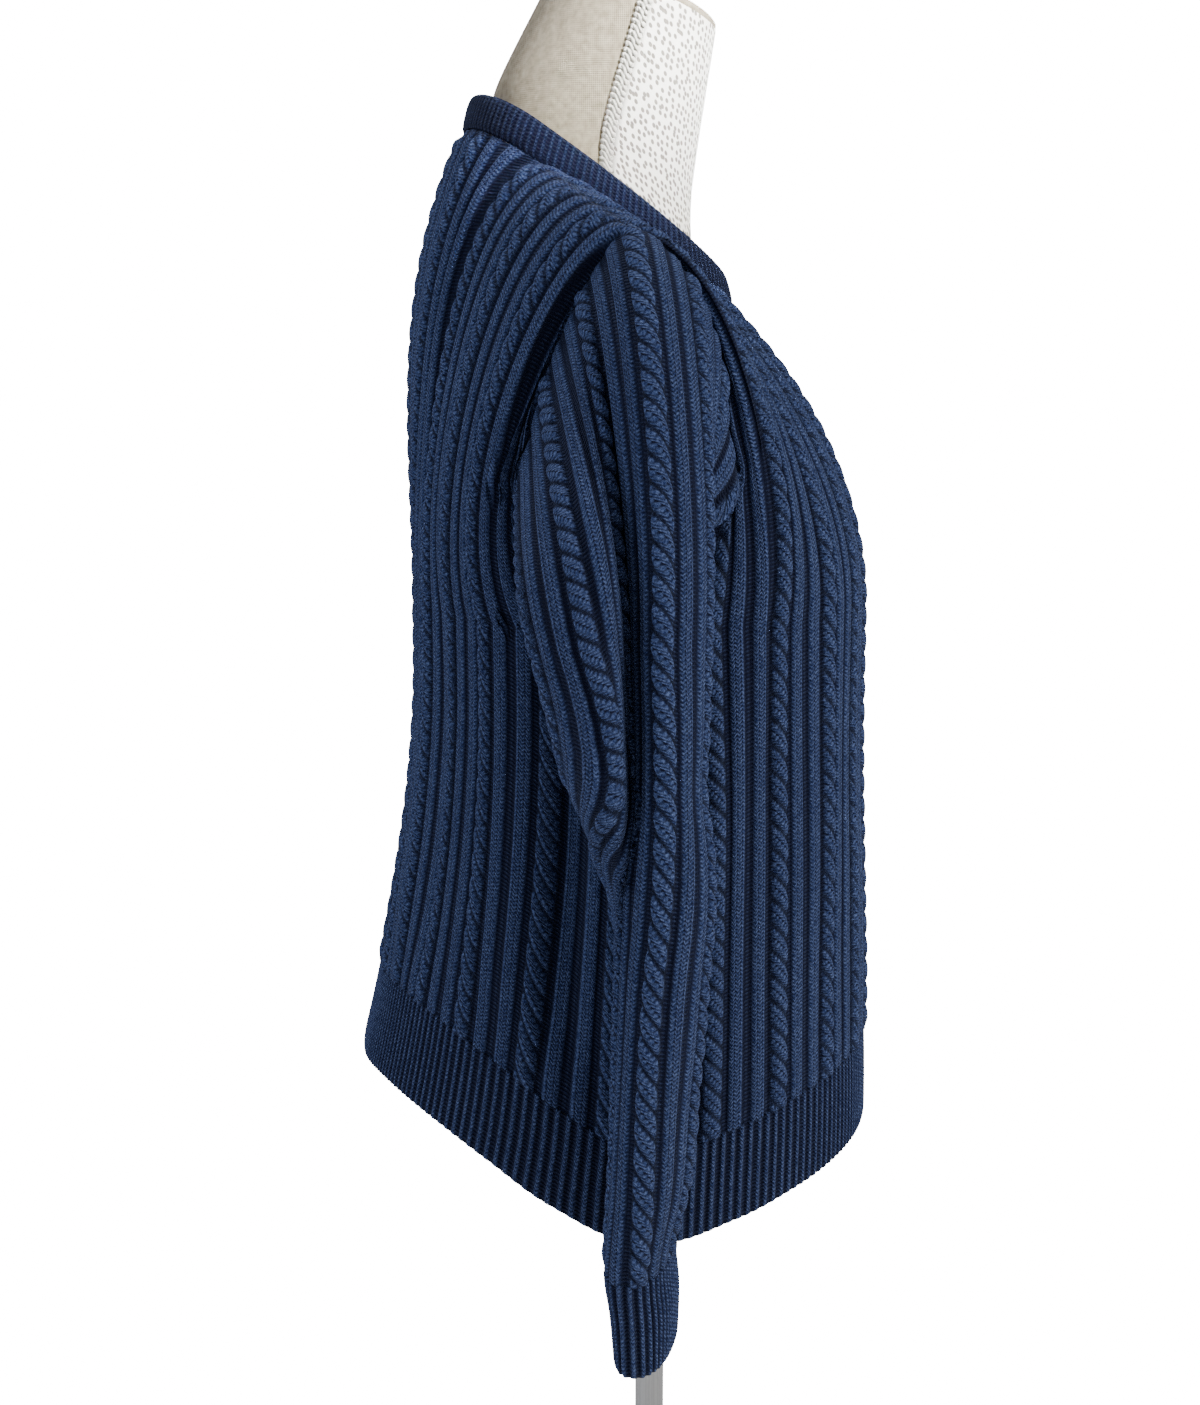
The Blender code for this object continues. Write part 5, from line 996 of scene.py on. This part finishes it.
# neckband: the folded strip's section carried round the neckline, ribbed where it shows
def buildNeckband(material):
    around = necklineLoop(8)[2]
    ribs = int(round(around / neckBand["pitch"]))
    count = ribs * neckBand["perRib"]
    points, faces, _ = necklineLoop(count)
    wrapped = np.concatenate([points[-1:], points, points[:1]])
    rise = unitOf(np.cross(unitOf(wrapped[2:] - wrapped[:-2]), faces))
    rise = rise * np.where(rise[:, 2:] < 0, -1.0, 1.0)
    outward = unitOf(faces * np.array((1.0, 1.0, 0.0)))
    upright = rise * neckBand["riseShare"] + np.array((0.0, 0.0, neckBand["upShare"]))
    upright = unitOf(upright - outward * neckBand["leanShare"])
    heights = np.array(neckBand["heights"])
    offsets = np.array(neckBand["offsets"]) / 1000.0
    u = np.arange(count) * around / count
    relief, wave, knit = ribRelief(u, around / ribs, neckBand["relief"])
    lean = easeStep(heights * 3.0)[None, :, None]
    thick = unitOf(faces[:, None, :] * (1.0 - lean) + outward[:, None, :] * lean)
    grid = points[:, None, :] + rise[:, None, :] * neckBand["gap"]
    grid = grid + upright[:, None, :] * (heights * neckBand["height"])[None, :, None]
    grid = grid + thick * (offsets[None, :] + relief[:, None] * np.array(neckBand["ribbed"]))[..., None]
    profile = arcLength(np.stack([heights * neckBand["height"], offsets], axis=-1))
    flat = np.stack(np.broadcast_arrays(u[:, None], profile[None, :]), axis=-1)
    local = np.mod(u + neckBand["stitchFrom"], around / ribs) - neckBand["stitchBack"]
    # valley and top set the painted shade of the band: low all round, darkest in the rib valleys, lighter on
    # the rib tops
    light = neckBand["valley"] + neckBand["top"] * wave
    extra = {key: np.broadcast_to(value[:, None], flat.shape[:2])
             for key, value in (("knit", knit), ("local", local), ("raised", light))}
    item = gridPiece("neckStrip", grid, flat, extra, closedAcross=True)
    dressPiece(item, material, "navy_rib", "neckband")
    return item, (float(around), float(profile[-1]))


# the form's neck: tilted rings from its base, place 0, to its top, place 3
neckRings = {
    "frontY": (-0.0300, -0.0290, -0.0320, -0.0430),
    "frontZ": (0.838, 0.864, 0.895, 0.966),
    "backY": (0.0890, 0.0860, 0.0785, 0.0500),
    "backZ": (0.912, 0.926, 0.945, 0.999),
    "halfWidth": (0.0640, 0.0590, 0.0555, 0.0500),
}


# rings of the form's neck at places, each an ellipse between its front and back points
def neckRing(place, angle, grow=0.0):
    stops = np.arange(4.0)
    size = {name: smoothCurve(place, stops, values) for name, values in neckRings.items()}
    front = np.stack([0.0 * place, size["frontY"] - grow, size["frontZ"]], axis=-1)
    back = np.stack([0.0 * place, size["backY"] + grow, size["backZ"]], axis=-1)
    middle = (front + back) / 2
    side = np.stack([-(size["halfWidth"] + grow), 0.0 * place, 0.0 * place], axis=-1)
    return (middle[:, None, :] + np.cos(angle)[None, :, None] * (front - middle)[:, None, :]
            + np.sin(angle)[None, :, None] * side[:, None, :])


# rings of the dress form: height and share of the chest ring up the torso, then places between chest
# and neck, which swell for the shoulders, and last lift and share of the cap's rings
formPiece = {
    "around": 144, "centreY": -0.0085, "clearance": 0.013,
    "torso": ((0.484, 0.002), (0.4842, 0.40), (0.4845, 0.72), (0.487, 0.78), (0.494, 0.825), (0.505, 0.862),
              (0.522, 0.885), (0.540, 0.901), (0.565, 0.921), (0.590, 0.940), (0.615, 0.965), (0.640, 0.99)),
    "shoulders": (0.08, 0.92, 12), "shoulderSwell": 0.22, "neckCount": 40,
    "cap": ((0.0015, 1.005), (0.0035, 1.0), (0.0044, 0.975), (0.0048, 0.6), (0.0049, 0.01)),
}


# dress form: rings from the closed underside up the torso, over the hidden shoulders and up the neck
def buildForm(material):
    count = formPiece["around"]
    angle = fullTurn * np.arange(count) / count
    chest = bodySection(np.minimum(angle, fullTurn - angle), np.full(count, bodyForm["chestZ"]))
    chest[:, 0] *= np.where(angle > math.pi, -1.0, 1.0)
    centre = np.array((0.0, formPiece["centreY"], 0.0))
    inward = unitOf((chest - centre) * np.array((1.0, 1.0, 0.0)))
    chest = chest - inward * formPiece["clearance"]
    rings = []
    for z, share in formPiece["torso"]:
        ring = centre + (chest - centre) * np.array((share, share, 0.0))
        ring[:, 2] = z
        rings.append(ring)
    widest = rings[-1]
    neckBase = neckRing(np.array([0.0]), angle)[0]
    for part in np.linspace(*formPiece["shoulders"]):
        ring = widest * (1 - part) + neckBase * part
        ring[:, 0] *= 1.0 + formPiece["shoulderSwell"] * math.sin(math.pi * part)
        rings.append(ring)
    rings.extend(neckRing(np.linspace(0.0, 3.0, formPiece["neckCount"]), angle))
    top = rings[-1]
    middle = top.mean(axis=0)
    lift = unitOf(np.cross(np.array((1.0, 0.0, 0.0)), top[count // 2] - top[0]))
    rings.extend(middle + (top - middle) * share + lift * height for height, share in formPiece["cap"])
    grid = np.stack(rings, axis=1)
    flat = np.stack([np.broadcast_to(angle[:, None], grid.shape[:2]), grid[..., 2]], axis=-1)
    item = gridPiece("formSkin", grid, flat, {}, closedAcross=True, flip=True)
    dressPiece(item, material, "linen_cloth", "form_body", "form_cap")


# crochet lace over the front of the neck: a patch of its rings between two angles, its free edges
# lifted a little, and with painted shade beside the braid
def buildLace(material):
    columns = lacePiece["columns"]
    rows = lacePiece["rows"]
    angle = np.linspace(math.radians(lacePiece["from"]), math.radians(lacePiece["to"]), columns)
    places = np.linspace(lacePiece["lowPlace"], 3.0, rows)
    edge = np.minimum(np.arange(columns), np.arange(columns)[::-1])
    lift = lacePiece["edgeLift"] * easeStep(edge / 3.0)
    shade = np.broadcast_to((1.0 - easeStep((edge - 2.0) / 4.0))[:, None], (columns, rows))
    base = neckRing(places, angle).transpose(1, 0, 2)
    outer = neckRing(places, angle, 1.0).transpose(1, 0, 2) - base
    base = base + unitOf(outer) * (lacePiece["clear"] + lift)[:, None, None]
    across = arcLength(base.transpose(1, 0, 2)).T
    up = arcLength(base)
    flat = np.stack([across - across.mean(axis=0, keepdims=True), up], axis=-1)
    item = gridPiece("laceFront", base, flat, {"shade": shade}, flip=True)
    dressPiece(item, material, "linen_cloth")
    return item, (float(across.max()), float(up.max()))


# tube of even radius along a path: rings of sides square to the path, the ends drawn to a point
def tubeGrid(path, radius, sides):
    along = unitOf(np.gradient(path, axis=0))
    side = unitOf(np.cross(along, np.array((0.31, 0.72, 0.62))))
    over = np.cross(along, side)
    angle = fullTurn * np.arange(sides) / sides
    taper = np.ones(len(path))
    taper[0] = taper[-1] = 0.02
    ring = np.cos(angle)[:, None, None] * side[None] + np.sin(angle)[:, None, None] * over[None]
    return path[None] + ring * (radius * taper)[None, :, None]


# the gimp braid's loops: their pitch along the edge, reach to either side and back along it, and the
# cord's radius, its lift off the form and how far the cords part where they cross
braidPiece = {"pitch": 0.0066, "halfWidth": 0.0036, "loop": 0.0016, "cord": 0.00085, "sides": 6,
              "perPitch": 14, "lift": 0.0014, "part": 0.0005, "spineLift": 0.0012, "spine": 1.5}


# gimp braid along the lace's edge: two cords that loop out to either side of a thicker middle one
def buildBraid(name, side, material):
    angle = np.full(1, math.radians(lacePiece["to"]))
    places = np.linspace(lacePiece["lowPlace"], 3.0, 400)
    line = neckRing(places, angle)[:, 0]
    ahead = neckRing(places, angle + 0.02)[:, 0]
    outward = unitOf(neckRing(places, angle, 1.0)[:, 0] - line)
    lengths = arcLength(line)
    count = int(lengths[-1] / braidPiece["pitch"]) * braidPiece["perPitch"]
    along = np.linspace(0.0, lengths[-1], count)
    middle = alongPath(line, lengths, along)
    across = unitOf(alongPath(ahead - line, lengths, along))
    outward = unitOf(alongPath(outward, lengths, along))
    forward = unitOf(np.gradient(middle, axis=0))
    turn = fullTurn * along / braidPiece["pitch"]
    mirror = np.array((side, 1.0, 1.0))
    tubes = []
    for shift in (0.0, math.pi):
        wide = braidPiece["halfWidth"] * np.sin(turn + shift)
        back = braidPiece["loop"] * np.sin(2 * (turn + shift))
        lift = braidPiece["lift"] + braidPiece["part"] * np.cos(turn + shift)
        path = middle + across * wide[:, None] + forward * back[:, None] + outward * lift[:, None]
        tubes.append(tubeGrid(path * mirror, braidPiece["cord"], braidPiece["sides"]))
    spine = (middle + outward * braidPiece["spineLift"]) * mirror
    tubes.append(tubeGrid(spine, braidPiece["cord"] * braidPiece["spine"], braidPiece["sides"]))
    grid = np.concatenate(tubes, axis=1)
    rows = grid.shape[1]
    index = np.arange(braidPiece["sides"] * rows).reshape(braidPiece["sides"], rows)
    nextColumn = np.roll(index, -1, axis=0)
    quads = np.stack([index[:, :-1], nextColumn[:, :-1], nextColumn[:, 1:], index[:, 1:]], axis=-1)
    joined = np.ones(rows - 1, dtype=bool)
    joined[count - 1::count] = False  # no faces from one cord's end to the next one's start
    quads = quads[:, joined].reshape(-1, 4)
    if side > 0:
        quads = quads[:, ::-1]
    flat = np.stack([np.zeros(grid.shape[:2]), np.broadcast_to(np.tile(along, 3), grid.shape[:2])], axis=-1)
    item = meshPiece(name, grid.reshape(-1, 3), quads, flat.reshape(-1, 2), {})
    dressPiece(item, material, "linen_cloth")


# turn that points an object's -Z along a direction with +Y up
def aimAt(direction):
    x, y, z = unitOf(np.asarray(direction, float))
    return (math.pi / 2 + math.asin(z), 0.0, math.atan2(-x, y))


# place, target, size, power, colour and spread of each lamp
lamps = {
    "keyLamp": ((-1.9, -2.0, 2.1), (0.0, 0.0, 0.62), (1.4, 1.6), 88.0, "#fffaf2", 180.0),
    "fillLamp": ((-1.0, 2.4, 1.1), (0.0, 0.0, 0.62), (1.6, 1.6), 22.0, "#eef3ff", 180.0),
    "rimLamp": ((0.4, 0.6, 2.4), (0.0, 0.0, 0.75), (1.2, 1.2), 16.0, "#ffffff", 180.0),
    "neckLamp": ((-0.75, -0.55, 1.35), (-0.02, 0.0, 0.965), (0.12, 0.12), 0.7, "#ffffff", 16.0),
}


# a soft rectangular lamp that looks at a point
def addLamp(name, place, target, size, power, colour, spread):
    data = bpy.data.lights.new(name, "AREA")
    data.shape = "RECTANGLE"
    data.size, data.size_y = size
    data.energy = power
    data.color = colourOf(colour)[:3]
    data.spread = math.radians(spread)
    item = bpy.data.objects.new(name, data)
    item.location = place
    item.rotation_euler = aimAt(np.array(target) - np.array(place))
    bpy.context.scene.collection.objects.link(item)


# the photograph's view: the lens, where the camera stands, and its turn from +X towards -Y and down
camera = {"lens": 62.01, "sensor": 36.0, "place": (-1.2333, 0.1308, 0.75), "yaw": 5.0, "down": 8.054}


# camera that looks along the direction with these two angles
def buildCamera():
    data = bpy.data.cameras.new("photoCamera")
    data.sensor_fit = "HORIZONTAL"
    data.sensor_width = camera["sensor"]
    data.lens = camera["lens"]
    item = bpy.data.objects.new("photoCamera", data)
    item.location = camera["place"]
    yaw = math.radians(camera["yaw"])
    down = math.radians(camera["down"])
    item.rotation_euler = aimAt((math.cos(yaw) * math.cos(down), -math.sin(yaw) * math.cos(down),
                                 -math.sin(down)))
    bpy.context.scene.collection.objects.link(item)
    bpy.context.scene.camera = item


surroundings = {"world": 0.30, "backdrop": 18.0, "paper": "#f2f2f2", "floorHalf": 6.0, "drop": 0.0005}


# white surroundings: full white where the camera looks, dimmer as a light source
def buildSurroundings():
    world = bpy.data.worlds.new("whiteRoom")
    bpy.context.scene.world = world
    world.use_nodes = True
    tree = world.node_tree
    white = (1.0, 1.0, 1.0, 1.0)
    seen = addNode(tree, "LightPath", []).outputs["Is Camera Ray"]
    strength = addNode(tree, "Math", [seen, surroundings["backdrop"], surroundings["world"]],
                       operation="MULTIPLY_ADD")
    setInputs(tree, tree.nodes["Background"], [white, strength])
    half = surroundings["floorHalf"]
    floorMesh = bpy.data.meshes.new("floor")
    floorMesh.from_pydata([(-half, -half, 0), (half, -half, 0), (half, half, 0), (-half, half, 0)], [],
                          [(0, 1, 2, 3)])
    floor = bpy.data.objects.new("floor", floorMesh)
    floor.location = (0.0, 0.0, -surroundings["drop"])
    bpy.context.scene.collection.objects.link(floor)
    material, tree, shader = newMaterial("paperFloor")
    setInputs(tree, shader, {"Base Color": colourOf(surroundings["paper"]), "Roughness": 0.9})
    seen = addNode(tree, "LightPath", []).outputs["Is Camera Ray"]
    glow = addNode(tree, "Emission", {"Color": white, "Strength": surroundings["backdrop"]})
    mixed = addNode(tree, "MixShader", [seen, shader, glow])
    setInputs(tree, tree.nodes["Material Output"], {"Surface": mixed})
    floorMesh.materials.append(material)


buildCamera()
buildSurroundings()
for name, values in lamps.items():
    addLamp(name, *values)
print("light and camera")

knitYarn = yarnMaterial("navyCableKnit")
front, frontFlat, frontArea = buildPanel("frontPanel", False, frontFolds, knitYarn)
back, backFlat, backArea = buildPanel("backPanel", True, backFolds, knitYarn)
print("panels", frontFlat, frontArea, backFlat, backArea)
sleeveRight, sleeveFlat, sleeveArea = buildSleeve("sleeveRight", 1.0, sleeve["near"], knitYarn)
sleeveLeft = buildSleeve("sleeveLeft", -1.0, sleeve["far"], knitYarn)[0]
print("sleeves", sleeveFlat, sleeveArea)
hemFront, hemFlat = buildHem("hemFront", False, knitYarn)
hemBack, hemBackFlat = buildHem("hemBack", True, knitYarn)
cuffRight, cuffFlat = buildCuff("cuffRight", 1.0, knitYarn)
cuffLeft = buildCuff("cuffLeft", -1.0, knitYarn)[0]
band, bandFlat = buildNeckband(knitYarn)
print("bands", hemFlat, hemBackFlat, cuffFlat, bandFlat)
buildForm(linenMaterial("naturalLinen"))
lace, laceFlat = buildLace(laceMaterial("whiteCrochetLace"))
gimp = grainMaterial("gimpBraid", viscose)
for name, side in (("braidRight", 1.0), ("braidLeft", -1.0)):
    buildBraid(name, side, gimp)
print("form, lace and braid")

# the stand keeps its CAD solids
steel = grainMaterial("brushedSteel", brushedSteel)
paint = grainMaterial("satinPowderPaint", satinPaint)
for node, material in (("stand_pole", steel), ("stand_collar", steel), ("stand_base", paint)):
    frame["nodes"][node].data.materials.clear()
    frame["nodes"][node].data.materials.append(material)
print("stand")

total = sum(len(item.data.polygons) for item in bpy.data.objects if item.type == "MESH")
print("faces", total)
